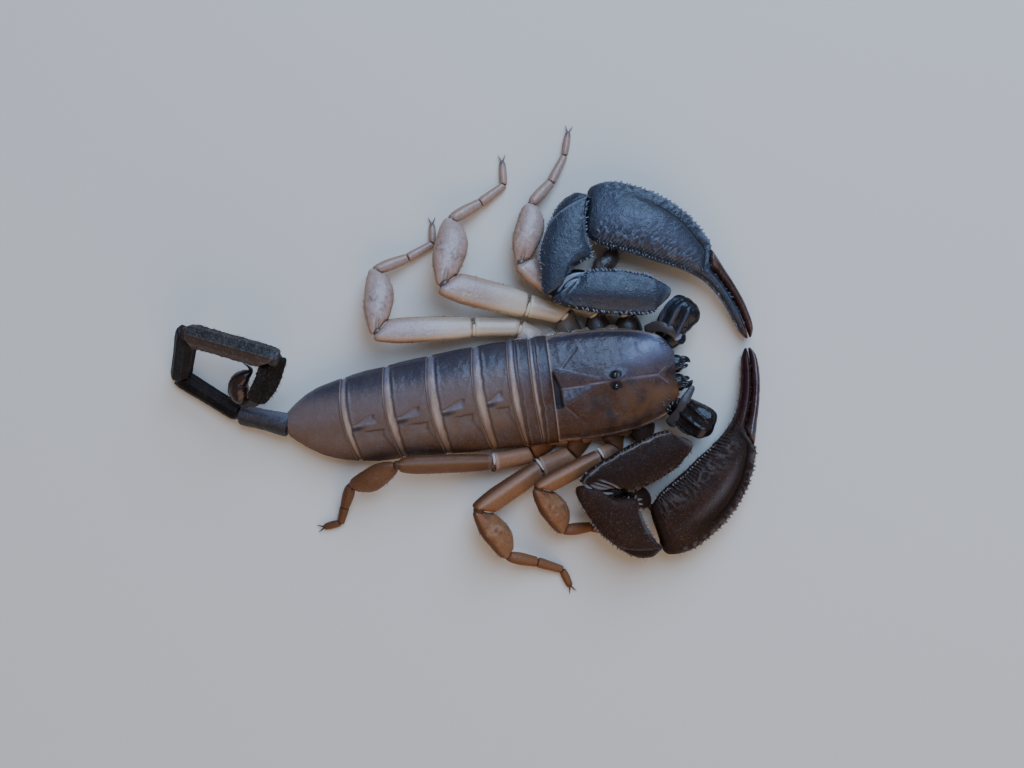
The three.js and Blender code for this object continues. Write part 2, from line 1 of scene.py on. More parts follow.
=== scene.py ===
"""A life-size flat rock scorpion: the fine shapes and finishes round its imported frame.

Shapes are laid out in millimetres from the middle of the carapace's rear margin at floor level, with +X to
the animal's left, -Y forward and +Z up, and are moved into the frame when a mesh is made.
"""

import functools
import math

import bpy
import numpy as np
from bpy.props import FloatProperty, FloatVectorProperty, PointerProperty
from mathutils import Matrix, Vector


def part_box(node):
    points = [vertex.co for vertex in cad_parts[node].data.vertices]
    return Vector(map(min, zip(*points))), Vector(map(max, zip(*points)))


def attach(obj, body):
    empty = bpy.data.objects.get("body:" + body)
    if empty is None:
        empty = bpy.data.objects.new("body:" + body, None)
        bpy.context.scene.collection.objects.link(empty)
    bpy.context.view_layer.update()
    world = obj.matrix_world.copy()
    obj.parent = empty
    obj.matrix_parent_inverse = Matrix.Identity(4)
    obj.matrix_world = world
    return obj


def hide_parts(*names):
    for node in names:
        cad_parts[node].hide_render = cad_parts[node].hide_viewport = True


bl_info = {
    "name": "Rock Scorpion",
    "version": (1, 0, 0),
    "blender": (4, 5, 0),
    "location": "3D View > Sidebar > Scorpion",
    "description": "Builds a life-size rock scorpion at rest, with its pincers drawn round in front",
    "category": "Mesh",
}

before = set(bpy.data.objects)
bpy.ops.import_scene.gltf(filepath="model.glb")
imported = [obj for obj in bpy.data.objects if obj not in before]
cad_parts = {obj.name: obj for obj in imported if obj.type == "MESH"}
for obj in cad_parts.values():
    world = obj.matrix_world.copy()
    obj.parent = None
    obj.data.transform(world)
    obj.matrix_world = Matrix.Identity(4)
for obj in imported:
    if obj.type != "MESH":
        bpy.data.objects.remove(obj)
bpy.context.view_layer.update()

MM = 0.001
CARAPACE_SETBACK = 0.15  # the carapace stops this far short of its rear margin, for the joint
low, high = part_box("carapace")
ORIGIN = np.array([(low.x + high.x) / 2, high.y + CARAPACE_SETBACK * MM, 0.0])

SIDES = (("left", 1), ("right", -1))

# ---- the animal's own sizes ----

CARAPACE_LENGTH = 18.7
TRUNK_HALF_WIDTH = [
    [-18.7, 3.2], [-17, 5.5], [-15.5, 6.3], [-13, 7.2], [-10, 7.7], [-6, 8], [0, 7.95], [12, 7.7],
    [18, 7.4], [24, 7], [30, 6.5], [33, 5.9], [36, 4.8], [38, 3.5], [40.1, 1.7],
]
TRUNK_TOP = [
    [-18.7, 5.1], [-15, 5.7], [-10, 6.3], [0, 6.4], [15, 6.4], [28, 5.8], [36, 4.9], [40.1, 4.2],
]
TRUNK_EDGE = [[-18.7, 4.6], [-14, 3.8], [0, 3.5], [30, 3.2], [40.1, 3]]
TRUNK_BOTTOM = [
    [-18.7, 4.1], [-14, 3], [0, 2.8], [4.5, 2.6], [7, 1.4], [30, 0.9], [36, 1.4], [40.1, 2],
]
TRUNK_SWAY = [[10, 0], [22, -0.3], [32, -0.7], [40.1, -0.3]]
TERGITE_ENDS = [0, 2.9, 6.2, 11.6, 18.5, 25.1, 31.7, 40.1]
TERGITE_BOW = 1
TERGITE_SLANT = 0.5
BAND_WIDTHS = [0.45, 0.7, 1.1, 1.5, 1.52, 1.3, 1.05]  # soft skin behind each plate, at the middle
TERGITE_MIDLINE = [[0, -0.3], [8, -0.8], [16, -1.2], [40, -1.2]]  # the keel beside the outline's middle

FRONT_NOTCH = {"depth": 1.3, "half_width": 0.9, "reach": 3}
EYE_STATION = -9.4
MEDIAN_EYE = {"radius": 0.4, "spread": 0.85, "height": 6.66}
LATERAL_EYE = {
    "radius": 0.32, "pitch": 0.42, "slope": 0.42, "drop": 0.06, "front": -17.5, "side": 4.45, "height": 4.95,
}

TAIL_ROOT = [-0.3, 40.4, 3]
TAIL = [
    {"step": [7.4, 160, 1.9], "width": 3, "height": 3.3, "roll": 45},
    {"step": [10.7, 141.5, 1.15], "width": 2.4, "height": 2.8, "roll": 62},
    {"step": [6.9, 58.5, 9.4], "width": 2.6, "height": 3.3, "roll": 78},
    {"step": [13.7, -23, 11.8], "width": 2.8, "height": 3.5, "roll": 62},
    {"step": [7.4, -131, 5.4], "width": 2.9, "height": 4.1, "roll": 78},
]
# Profiles of the tail's lengths: (share, size), in shares of the length's own half width and height.
SHORT_TAIL_SHAPE = (0, 0.86), (0.08, 0.96), (0.35, 0.97), (0.65, 1), (0.9, 1.04), (1, 0.92)
TAIL_SHAPES = [
    ((0, 1.06), (0.12, 1.1), (0.4, 1), (0.65, 0.96), (0.9, 1), (1, 0.92)),
    SHORT_TAIL_SHAPE,
    SHORT_TAIL_SHAPE,
    ((0, 0.9), (0.08, 0.98), (0.35, 0.98), (0.7, 1), (0.88, 0.98), (0.96, 0.85), (1, 0.7)),
    ((0, 0.55), (0.06, 0.72), (0.18, 0.86), (0.4, 0.9), (0.7, 0.84), (0.88, 0.74), (1, 0.6)),
]
TELSON = [
    [3.7, 46.15, 4.2, 1.2, 1.2], [4.6, 46.5, 4.4, 2.3, 2.6], [5.8, 46.6, 4.7, 2.8, 3.2],
    [7, 46.2, 5, 2.6, 3], [7.8, 45.2, 5.5, 1.7, 2], [8.25, 44.4, 5.7, 0.9, 1],
    [8.6, 44.2, 5.8, 0.7, 0.7], [9.1, 44.5, 5.9, 0.55, 0.55], [9.5, 45.1, 6, 0.3, 0.3],
]
TELSON_ROLL = 70

PALPS = {
    "left": {
        "side": 1, "coxa": [5, -16.7, 2.5], "trochanter": [7.6, 42, 5.6], "femur_root": [11.2, -18.8, 6.2],
        "femur": [16.6, 169.5, 6.6], "patella": [15.4, 65, 5.3], "palm_root": [25.4, -9.6, 5],
        "palm": -12.5, "turn": 2.08,
    },
    "right": {"side": -1, "coxa": [4.6, -16.9, 2.5], "trochanter": [7.4, 32, 5.6],
              "femur_root": [9.75, -18.85, 6.2], "femur": [15.9, 161, 6.6], "patella": [14.4, 49, 5.3],
              "palm_root": [22.7, -14, 5], "palm": -22.4, "turn": 2.18},
}
# Sections along a length: [share of it, half width on the rear or outer side, on the other, half height].
PALP_TROCHANTER = [
    [0, 1.2, 1.2, 0.8], [0.15, 1.5, 1.6, 1], [0.4, 1.9, 2.5, 1.6], [0.8, 1.9, 2.6, 1.7], [1, 1.2, 1.6, 1.2],
]
PALP_FEMUR = [
    [0, 1.5, 1.5, 1.4], [0.07, 2.3, 2.1, 1.8], [0.25, 3.2, 2.7, 2.1], [0.55, 3.5, 2.8, 2.2],
    [0.8, 3, 2.4, 2.1], [0.93, 1.9, 1.7, 1.7], [1, 1.2, 1.2, 1.3],
]
PALP_PATELLA = [
    [0, 1.2, 0.9, 1.3], [0.1, 2.6, 0.8, 1.8], [0.24, 3.9, 0.9, 2.1], [0.36, 4.3, 2.4, 2.2],
    [0.43, 4.4, 3.3, 2.2],
    [0.55, 4.3, 2, 2.2], [0.75, 4, 0.7, 2.1], [0.9, 3.1, 0.25, 1.8], [1, 1.6, 0.15, 1.4],
]
CHELA = {
    "length": 31.8, "roll": 8, "drop": 3.5, "finger_gap": 0.16, "finger_root": 18.9, "finger_cut": 42,
    "root_cut": -12, "width": [
        [-1.3, 7.3], [1.2, 9.4], [4.3, 9.9], [8, 9.6], [11.9, 8.6], [14.7, 7.1], [17.1, 5.6], [19.3, 4.2],
        [21.4, 3.3], [24.2, 2.9], [27.5, 2.7], [30.4, 2.2], [31.8, 1],
    ],
    "height": [
        [-1.3, 2.6], [1.2, 3.8], [4.3, 5], [8, 5.5], [11.9, 5.2], [14.7, 4.6], [17.1, 3.9], [19.3, 3.2],
        [21.4, 2.6], [24.2, 2.3], [27.5, 2], [30.4, 1.5], [31.8, 0.8],
    ],
}

GROWN = {}  # finished skins by name, for bristles to grow from
BRISTLE_LEVELS = 4
BRISTLE_PATCH = 0.003  # of the hair map's side

LEG_WIDTHS = [
    {"femur": 2.6, "patella": 3, "tibia": 1.4},
    {"femur": 3.4, "patella": 4.4, "tibia": 1.8},
    {"femur": 4, "patella": 5, "tibia": 1.9},
    {"femur": 3.4, "patella": 4.5, "tibia": 1.8},
]
LEG_FLATNESS = 0.66
# How the sides differ. Pairs and fours go from the front leg to the rear one. The colours differ by side as
# painted light: the pale roots, trochanters and thighs of the lit left side, the warm roots of the shaded
# right side. The darkness of the coxae is painted shade under the body and arms, and the dark entries are
# painted shade on the first leg, hidden under the arm, and on the right rear leg.
LEG_SIDES = {
    "left": {
        "thigh_size": 1.13, "rear_patella_size": 1, "outline": 0.33, "root_pale": 0.5, "root_warm": 0.15,
        "root_shade": (0.97, 0.96, 0.8, 0.1), "trochanter_pale": 0.55, "ridge_pale": 0.18, "thigh_pale": 0.6,
        "collar": 0.3, "spot": 0.24, "spot_dark": 0.6, "dark": (0.85, 0, 0, 0), "pale_patched": (2, 3),
    },
    "right": {
        "thigh_size": 0.93, "rear_patella_size": 0.88, "outline": 0.55, "root_pale": 0, "root_warm": 0.8,
        "root_shade": (0.9, 0.6, 0.4, 0.2), "trochanter_pale": 0.1, "ridge_pale": 0.3, "thigh_pale": 0,
        "collar": 0.24, "spot": 0.36, "spot_dark": 0.8, "dark": (0.85, 0, 0, 0.46), "pale_patched": (),
    },
}
# Painted shade on the trochanters, darkest on the front legs, which lie under the arms.
LEG_SHADE_UNDER_ARMS = (0.95, 0.8, 0.1, 0)  # how dark the trochanters are, under the arms
# Profiles of a leg's lengths: [share, half width], in shares of the length's own half width.
COXA_SHAPE = [[0, 2.3], [0.4, 2], [0.8, 1.45], [1, 1.2]]  # this one in millimetres
TROCHANTER_SHAPE = [[0.12, 1.02], [0.6, 1.05], [0.9, 1.08], [1, 0.95]]
THIGH_SHAPE = [[0, 0.7], [0.05, 0.84], [0.25, 0.95], [0.5, 1], [0.78, 1], [0.92, 0.84], [1, 0.55]]
PATELLA_SHAPE = [
    [0, 0.34], [0.06, 0.5], [0.2, 0.77], [0.4, 0.97], [0.57, 1], [0.74, 0.91], [0.87, 0.72], [0.95, 0.55],
    [1, 0.42],
]
TIBIA_SHAPE = [[0, 0.62], [0.12, 0.88], [0.45, 1], [0.85, 0.86], [1, 0.8]]
BASITARSUS_SHAPE = [[0, 0.76], [0.2, 0.8], [0.8, 0.66], [1, 0.6]]
TARSUS_SHAPE = [[0, 0.52], [0.3, 0.62], [0.8, 0.56], [1, 0.35]]
# Each leg: side, roll, hip, then [way over the floor, heading, height of the far joint] for each length.
LEGS = {
    "left_1": (1, 5, [7, -12.6, 1.6], [3, 86, 2.2], [3, 136, 2.4], [4.6, 118, 2.8], [5.6, 47, 1.9],
               [3.6, 34, 1.2], [3.2, 12, 0.5], [2.7, -10, 0.25]),
    "left_2": (1, 8, [7.2, -8.2, 1.6], [3.4, 94, 2.3], [3.9, 142, 2.6], [9.6, 138, 4.3], [9.1, 73, 3.1],
               [4.5, 41, 1.6], [4.7, 56, 0.6], [3.8, 74, 0.3]),
    "left_3": (1, 10, [7.2, -3.6, 1.6], [3.8, 92, 2.7], [5.9, 161, 3.6], [12.7, 159, 6.6], [10, 78, 3.4],
               [5.1, 24, 1.7], [4.6, 31, 0.6], [3.8, 87, 0.3]),
    "left_4": (1, 10, [7, 1.4, 1.6], [3.7, 128, 2.6], [7, 173, 3.4], [14.2, 176, 6], [9.4, 86, 3.3],
               [5.1, 15, 1.7], [4.4, 24, 0.6], [3.2, 85, 0.3]),
    "right_1": (-1, 5, [7, -12.6, 1.6], [3, 86, 2.2], [3, 136, 2.4], [4.2, 122, 2.8], [5.6, 44, 1.9],
                [3.6, 36, 1.2], [3.2, 20, 0.5], [2.7, 0, 0.25]),
    "right_2": (-1, 38, [7.2, -8.2, 1.6], [3.1, 88, 2.6], [2.5, 164, 3.6], [10.4, 161, 6.4], [7.6, 67, 3],
                [4.2, 2, 1.6], [4, 20, 0.6], [3.2, 30, 0.3]),
    "right_3": (-1, 38, [7.2, -3.6, 1.6], [3.6, 118, 2.3], [5.3, 166, 2.7], [11.1, 154, 5.6], [8.4, 66, 3.1],
                [4.5, 20, 1.7], [4.1, 26, 0.6], [3, 72, 0.3]),
    "right_4": (-1, 38, [7, 1.4, 1.6], [3.7, 140, 2.6], [6, 176, 3.4], [14.2, 186, 6.6], [7.9, 163, 3.4],
                [3.5, 116, 1.6], [2.6, 114, 0.6], [2.8, 172, 0.3]),
}

# ---- what a user would change ----


def colour(name, description, default):
    return FloatVectorProperty(
        name=name, description=description, subtype="COLOR", size=3, min=0, max=1, default=default
    )


class ScorpionColours(bpy.types.PropertyGroup):
    # The back's two halves are lit and shaded copies of one colour: a painted blue sky reflection on the left
    # half, painted warm shade on the right half.
    shell_lit_left: colour("Back, left", "Back plates on the left half", (0.064, 0.054, 0.071))
    shell_shaded_right: colour("Back, right", "Back plates on the right half", (0.078, 0.029, 0.011))
    soft_skin: colour("Soft skin", "Bands between the back plates", (0.3, 0.165, 0.11))
    # The two pincers are lit and shaded copies of one colour: a painted blue sky reflection on the left,
    # painted brown shade on the right.
    pincer_left: colour("Left pincer", "Hard parts of the left arm", (0.024, 0.034, 0.056))
    pincer_right: colour("Right pincer", "Hard parts of the right arm", (0.04, 0.019, 0.012))
    finger: colour("Fingers", "Both movable fingers and the tips", (0.034, 0.007, 0.008))
    # The left legs are painted lit and pale, the right legs darker and warmer in painted shade.
    leg_left: colour("Left legs", "Legs on the left", (0.43, 0.305, 0.262))
    leg_right: colour("Right legs", "Legs on the right", (0.285, 0.129, 0.056))
    tail: colour("Tail", "All five tail lengths", (0.014, 0.011, 0.01))
    sting: colour("Sting", "The telson", (0.024, 0.006, 0.006))
    lens: colour("Eyes", "The lenses", (0.004, 0.004, 0.005))
    floor: colour("Floor", "The floor", (0.8, 0.73, 0.62))


class ScorpionSizes(bpy.types.PropertyGroup):
    spacing: FloatProperty(
        name="Mesh spacing", description="Distance between rings of a surface", unit="LENGTH",
        default=0.00017, min=0.00008, max=0.001,
    )
    hair: FloatProperty(
        name="Bristle length", description="Length of the longest bristles", unit="LENGTH",
        default=0.0018, min=0.0001, max=0.006,
    )


class ScorpionStage(bpy.types.PropertyGroup):
    camera_height: FloatProperty(
        name="Camera height", description="Height of the camera over the floor", unit="LENGTH",
        default=0.2175, min=0.05, max=2.0,
    )
    lens: FloatProperty(
        name="Lens", description="Focal length", subtype="DISTANCE_CAMERA", default=50.0, min=10, max=200,
    )
    sky_power: FloatProperty(
        name="Sky light", description="Power of the large cool light", unit="POWER", default=4.2, min=0,
        max=50,
    )
    warm_power: FloatProperty(
        name="Warm light", description="Power of the warm fill", unit="POWER", default=1.1, min=0, max=50,
    )


# ---- curves and noise ----


def smooth(table, place):
    """The value of a table of [place, value] at each place, on a smooth line through its points."""
    xs, ys = np.array(table, float).T
    slopes = np.empty_like(ys)
    slopes[1:-1] = (ys[2:] - ys[:-2]) / (xs[2:] - xs[:-2])
    slopes[0] = (ys[1] - ys[0]) / (xs[1] - xs[0])
    slopes[-1] = (ys[-1] - ys[-2]) / (xs[-1] - xs[-2])
    place = np.clip(place, xs[0], xs[-1])
    i = np.clip(np.searchsorted(xs, place, side="right") - 1, 0, len(xs) - 2)
    span = xs[i + 1] - xs[i]
    t = (place - xs[i]) / span
    rise = t * t * (3 - 2 * t)
    return (
        ys[i] + (ys[i + 1] - ys[i]) * rise
        + slopes[i] * span * t * (1 - t) ** 2 - slopes[i + 1] * span * t * t * (1 - t)
    )


def clamp(value):
    return np.clip(value, 0, 1)


def step(low_end, high_end, value):
    """0 below low_end, 1 above high_end and a smooth rise between. The ends may be in either order."""
    t = clamp((value - low_end) / (high_end - low_end))
    return t * t * (3 - 2 * t)


def bell(value, middle, width):
    return np.exp(-(((value - middle) / width) ** 2))


def strongest(*masks):
    return functools.reduce(np.maximum, masks)


def dice(x, y, z, seed):
    """A number from 0 to 1 for each whole-number cell, always the same for one seed."""
    h = (x * 374761393 + y * 668265263 + z * 1440662683 + seed * 974634777) & 0xFFFFFFFF
    h = ((h ^ (h >> 13)) * 1274126177) & 0xFFFFFFFF
    h = ((h ^ (h >> 15)) * 2246822519) & 0xFFFFFFFF
    return (h ^ (h >> 16)) / 0xFFFFFFFF


def noise(points, size, seed, octaves=1):
    """Smooth noise from -1 to 1 over points, with features about size across."""
    total, weight, amount = 0.0, 0.0, 1.0
    for octave in range(octaves):
        cell = np.asarray(points) / (size / 2**octave)
        base = np.floor(cell).astype(np.int64)
        t = cell - base
        t = t * t * (3 - 2 * t)
        value = 0.0
        for corner in range(8):
            d = (corner & 1, corner >> 1 & 1, corner >> 2)
            share = 1.0
            for axis in range(3):
                share = share * (t[..., axis] if d[axis] else 1 - t[..., axis])
            value = value + share * dice(*(base[..., a] + d[a] for a in range(3)), seed + octave)
        total = total + (2 * value - 1) * amount
        weight += amount
        amount /= 2
    return total / weight


def grains(points, size, seed, fill=0.8):
    """Rounded grains scattered over points: 0 between them and up to 1 on top of each."""
    cell = np.asarray(points) / size
    base = np.floor(cell - 0.5).astype(np.int64)
    found = 0.0
    for corner in range(8):
        at = [base[..., a] + (corner >> a & 1) for a in range(3)]
        away = 0.0
        for axis in range(3):
            middle = at[axis] + 0.5 + 0.45 * (dice(*at, seed + 1 + axis) - 0.5)
            away = away + (cell[..., axis] - middle) ** 2
        big = 0.25 + 0.4 * dice(*at, seed + 5)
        here = dice(*at, seed + 6) < fill
        found = np.maximum(found, here * clamp(1 - away / big**2) * (0.6 + big))
    return found


# ---- surfaces ----


def unit(v):
    return v / np.linalg.norm(v, axis=-1, keepdims=True)


def heading(angle):
    """A level direction: 0 is forward, and 90 is to the animal's left."""
    a = np.radians(angle)
    return np.stack([np.sin(a), -np.cos(a), np.zeros_like(a)], -1)


def joints_of(root, steps, side=1):
    joints = [np.array([root[0] * side, root[1], root[2]], float)]
    for way, angle, height in steps:
        following = joints[-1] + heading(angle * side) * way
        following[2] = height
        joints.append(following)
    return joints


def mitre(before, joint, after):
    """The plane that two lengths share at their joint, as its normal."""
    return unit(unit(joint - before) + unit(after - joint))


def frames(along, roll):
    """The upward and sideways directions of sections whose middle line runs along these directions."""
    up = np.array([0.0, 0.0, 1.0]) - along * along[..., 2:3]
    up = unit(up)
    roll = np.asarray(roll, float)[..., None]
    up = up * np.cos(roll) + np.cross(along, up) * np.sin(roll)
    return up, np.cross(along, up)


def section(angle, right, left, top, bottom, square):
    c, s = np.cos(angle), np.sin(angle)
    c = np.sign(c) * abs(c) ** (2 / square)
    s = np.sign(s) * abs(s) ** (2 / square)
    return c * np.where(c > 0, right, left), s * np.where(s > 0, top, bottom)


def places(span, spacing, ends=0.4):
    """Shares along a span, closer together within ends millimetres of either end."""
    count = max(8, int(span / spacing))
    t = np.linspace(0, 1, count)
    edge = min(0.25, ends / span)
    extra = edge * (1 - np.cos(np.linspace(0, np.pi / 2, 7)))
    return np.unique(np.concatenate([t[(t > edge) & (t < 1 - edge)], extra, 1 - extra]))


def dome(share, span, radius):
    """How much narrower a section is near the two ends of a length, to round them off over radius."""
    away = np.minimum(share, 1 - share) * span
    t = clamp(1 - away / radius)
    return np.sqrt(clamp(1 - t * t)) * 0.97 + 0.03


class Skin:
    """A tube of points, rings by places round a ring, with where each point is and what is painted on it."""

    def __init__(self, points, way, sideways, rise, width):
        self.points = points
        self.way = np.broadcast_to(way, points.shape[:2])  # millimetres from the start
        self.sideways = sideways  # -1 to 1 across the section
        self.rise = rise  # -1 to 1 from its underside to its top
        self.width = np.broadcast_to(width, points.shape[:2])  # half width on this side
        self.paint = {}

    def normals(self):
        down = np.gradient(self.points, axis=0)
        round_it = np.roll(self.points, -1, 1) - np.roll(self.points, 1, 1)
        n = np.cross(down, round_it)
        return n / np.maximum(np.linalg.norm(n, axis=-1, keepdims=True), 1e-9)

    def plan(self):
        return self.points[..., 0], self.points[..., 1]

    def noise(self, size, seed, octaves=1, stretch=1.0):
        return noise(self.points * stretch, size, seed, octaves)

    def grains(self, size, seed, fill=0.8):
        return grains(self.points, size, seed, fill)

    def lift(self, height):
        self.points = self.points + self.normals() * np.asarray(height)[..., None]
        return self

    def narrow(self, reach, amount):
        """Makes the sections narrower over this share of the length from its start."""
        middle = self.points.mean(1, keepdims=True)
        near = clamp(1 - self.share[:, :1, None] / reach)
        self.points = middle + (self.points - middle) * (1 - amount * near**2)
        return self

    def mark(self, **masks):
        for name, amount in masks.items():
            amount = np.broadcast_to(clamp(amount), self.points.shape[:2])
            self.paint[name] = np.maximum(self.paint.get(name, 0.0), amount)
        return self

    def part(self):
        rings, sides = self.points.shape[:2]
        i, j = np.meshgrid(np.arange(rings - 1), np.arange(sides), indexing="ij")
        after = (j + 1) % sides
        quads = np.stack([i * sides + j, (i + 1) * sides + j, (i + 1) * sides + after, i * sides + after], -1)
        first, last = rings * sides, rings * sides + 1
        j = np.arange(sides)
        after = (j + 1) % sides
        base = (rings - 1) * sides
        start = np.stack([np.full(sides, first), j, after], -1)
        end = np.stack([np.full(sides, last), base + after, base + j], -1)
        points = np.concatenate(
            [self.points.reshape(-1, 3), self.points[:1].mean(1), self.points[-1:].mean(1)]
        )
        paint = {
            name: np.concatenate([m.reshape(-1), m[:1].mean(1), m[-1:].mean(1)])
            for name, m in self.paint.items()
        }
        return points, [quads.reshape(-1, 4), np.concatenate([start, end])], paint


def tube(centres, along, roll, right, left, top, bottom, sides, square, way, lean=None):
    """A skin whose sections stand on a middle line. lean gives, for an offset, how far it slides along."""
    up, across = frames(along, roll)
    angle = np.arange(sides) * 2 * np.pi / sides
    column = [np.asarray(v, float)[:, None] for v in (right, left, top, bottom)]
    x, z = section(angle[None, :], *column, square)
    offset = x[..., None] * across[:, None, :] + z[..., None] * up[:, None, :]
    points = centres[:, None, :] + offset
    if lean is not None:
        points = points + lean(offset)[..., None] * along[:, None, :]
    width = np.where(x > 0, column[0], column[1])
    height = np.where(z > 0, column[2], column[3])
    sideways, rise = x / np.maximum(width, 1e-6), z / np.maximum(height, 1e-6)
    return Skin(points, np.asarray(way)[:, None], sideways, rise, width)


def length(start, end, profile, roll=0.0, cuts=(None, None), side=1, sides=48, square=2.3, gap=0.1,
           rounding=0.5):
    """One straight length of a limb between two joints, each end cut on its own plane and rounded off.
    profile is [share, half width to the right, to the left, half height], seen along a left limb."""
    along = unit(end - start)
    cuts = [along if cut is None else cut for cut in cuts]
    ends = []
    for joint, cut, way in ((start, cuts[0], 1), (end, cuts[1], -1)):
        ends.append(joint + along * (way * gap / 2 / (along @ cut)))
    span = np.linalg.norm(ends[1] - ends[0])
    share = places(span, spacing_mm(), rounding)
    table = np.array(profile, float)
    right, left, half = (smooth(table[:, [0, k]], share) for k in (1, 2, 3))
    if side < 0:
        right, left = left, right
    round_off = dome(share, span, rounding)
    across = np.cross(along, [0, 0, 1.0])
    away = [share * span, (1 - share) * span]
    reaches = []
    for k, cut in enumerate(cuts):
        slope = math.tan(math.acos(min(1.0, float(along @ cut))))
        inner = right if (across @ cut) * (-1 if k else 1) < 0 else left
        leans = np.maximum(inner, half) * slope
        reaches.append(max(1e-3, *np.where(away[k] < leans, leans, 0)))
    near = (away[0] < away[1]).astype(int)
    cut = np.array([cuts[1], cuts[0]])[near]
    reach = np.array([reaches[1], reaches[0]])[near]
    slide = clamp(1 - np.minimum(*away) / reach)

    def lean(offset):
        return -np.einsum("rsk,rk->rs", offset, cut) / (cut @ along)[:, None] * slide[:, None]

    centres = ends[0] + share[:, None] * (ends[1] - ends[0])
    directions = np.broadcast_to(along, centres.shape)
    sizes = [v * round_off for v in (right, left, half, half)]
    skin = tube(centres, directions, np.full(len(share), roll), *sizes, sides, square, share * span, lean)
    skin.share = np.broadcast_to(share[:, None], skin.sideways.shape)
    return skin


def spacing_mm():
    return bpy.context.scene.scorpion_sizes.spacing / MM


def thorns(roots, directions, heights, radii, bend=None, sides=6, sunk=0.35, levels=4, blunt=0.12):
    """Closed tapering spikes, one at each root, as one part. bend is added to the tip, in millimetres."""
    roots, directions = np.atleast_2d(roots), unit(np.atleast_2d(directions))
    count = len(roots)
    heights, radii = np.broadcast_to(heights, count), np.broadcast_to(radii, count)
    bend = np.zeros((count, 3)) if bend is None else np.broadcast_to(bend, (count, 3))
    aside = np.where(abs(directions[:, 2:3]) < 0.9, [[0, 0, 1.0]], [[1.0, 0, 0]])
    x = unit(np.cross(directions, aside))
    y = np.cross(directions, x)
    angle = np.arange(sides) * 2 * np.pi / sides
    ring = np.cos(angle)[:, None] * x[:, None, :] + np.sin(angle)[:, None] * y[:, None, :]
    t = np.linspace(0, 1, levels)
    rows = []
    for share in t:
        height = -sunk * (1 - share) ** 3 * heights + share * heights
        centre = roots + directions * height[:, None] + bend * share**2
        size = radii * (1 - share * (1 - blunt)) ** 0.8
        rows.append(centre[:, None, :] + ring * size[:, None, None])
    points = np.stack(rows, 1)
    caps = points[:, [0, -1]].mean(2)
    caps[:, 1] += directions * (radii * blunt * 0.8)[:, None]
    flat = np.concatenate([points.reshape(count, -1, 3), caps], 1)
    per = levels * sides + 2
    i, j = np.meshgrid(np.arange(levels - 1), np.arange(sides), indexing="ij")
    k = (j + 1) % sides
    quads = np.stack([i * sides + j, i * sides + k, (i + 1) * sides + k, (i + 1) * sides + j],
                     -1).reshape(-1, 4)
    j = np.arange(sides)
    k = (j + 1) % sides
    top = (levels - 1) * sides
    tris = np.concatenate([
        np.stack([np.full(sides, per - 2), k, j], -1),
        np.stack([np.full(sides, per - 1), top + j, top + k], -1)
    ])
    offset = (np.arange(count) * per)[:, None, None]
    return flat.reshape(-1, 3), [(quads + offset).reshape(-1, 4), (tris + offset).reshape(-1, 3)], {}


def painted(part, **masks):
    points, faces, paint = part
    return points, faces, {**paint, **{name: np.full(len(points), float(v)) for name, v in masks.items()}}


def ball(centre, radii, sides=24, axis=None):
    """A closed ellipsoid. axis, when given, turns its third radius that way."""
    t = np.linspace(0, np.pi, sides // 2 + 1)[1:-1]
    a = np.arange(sides) * 2 * np.pi / sides
    grid = np.stack([
        np.sin(t)[:, None] * np.cos(a) * radii[0],
        np.sin(t)[:, None] * np.sin(a) * radii[1],
        np.broadcast_to(-np.cos(t)[:, None] * radii[2], (len(t), sides)),
    ], -1)
    if axis is not None:
        z = unit(np.asarray(axis, float))
        x = unit(np.cross([0.02, 0.03, 1.0], z)) if abs(z[2]) < 0.99 else np.array([1.0, 0, 0])
        grid = grid @ np.stack([x, np.cross(z, x), z])
    return Skin(grid + centre, t[:, None], grid[..., 0], grid[..., 2], np.ones((1, 1))).part()


def outward(part):
    """The part with its faces turned outward."""
    points, (quads, tris), paint = part
    fans = np.concatenate([quads[:, [0, 1, 2]], quads[:, [0, 2, 3]], tris])
    a, b, c = (points[fans[:, k]] for k in range(3))
    if np.einsum("ij,ij->", a, np.cross(b, c)) < 0:
        quads, tris = quads[:, ::-1], tris[:, ::-1]
    return points, [quads, tris], paint


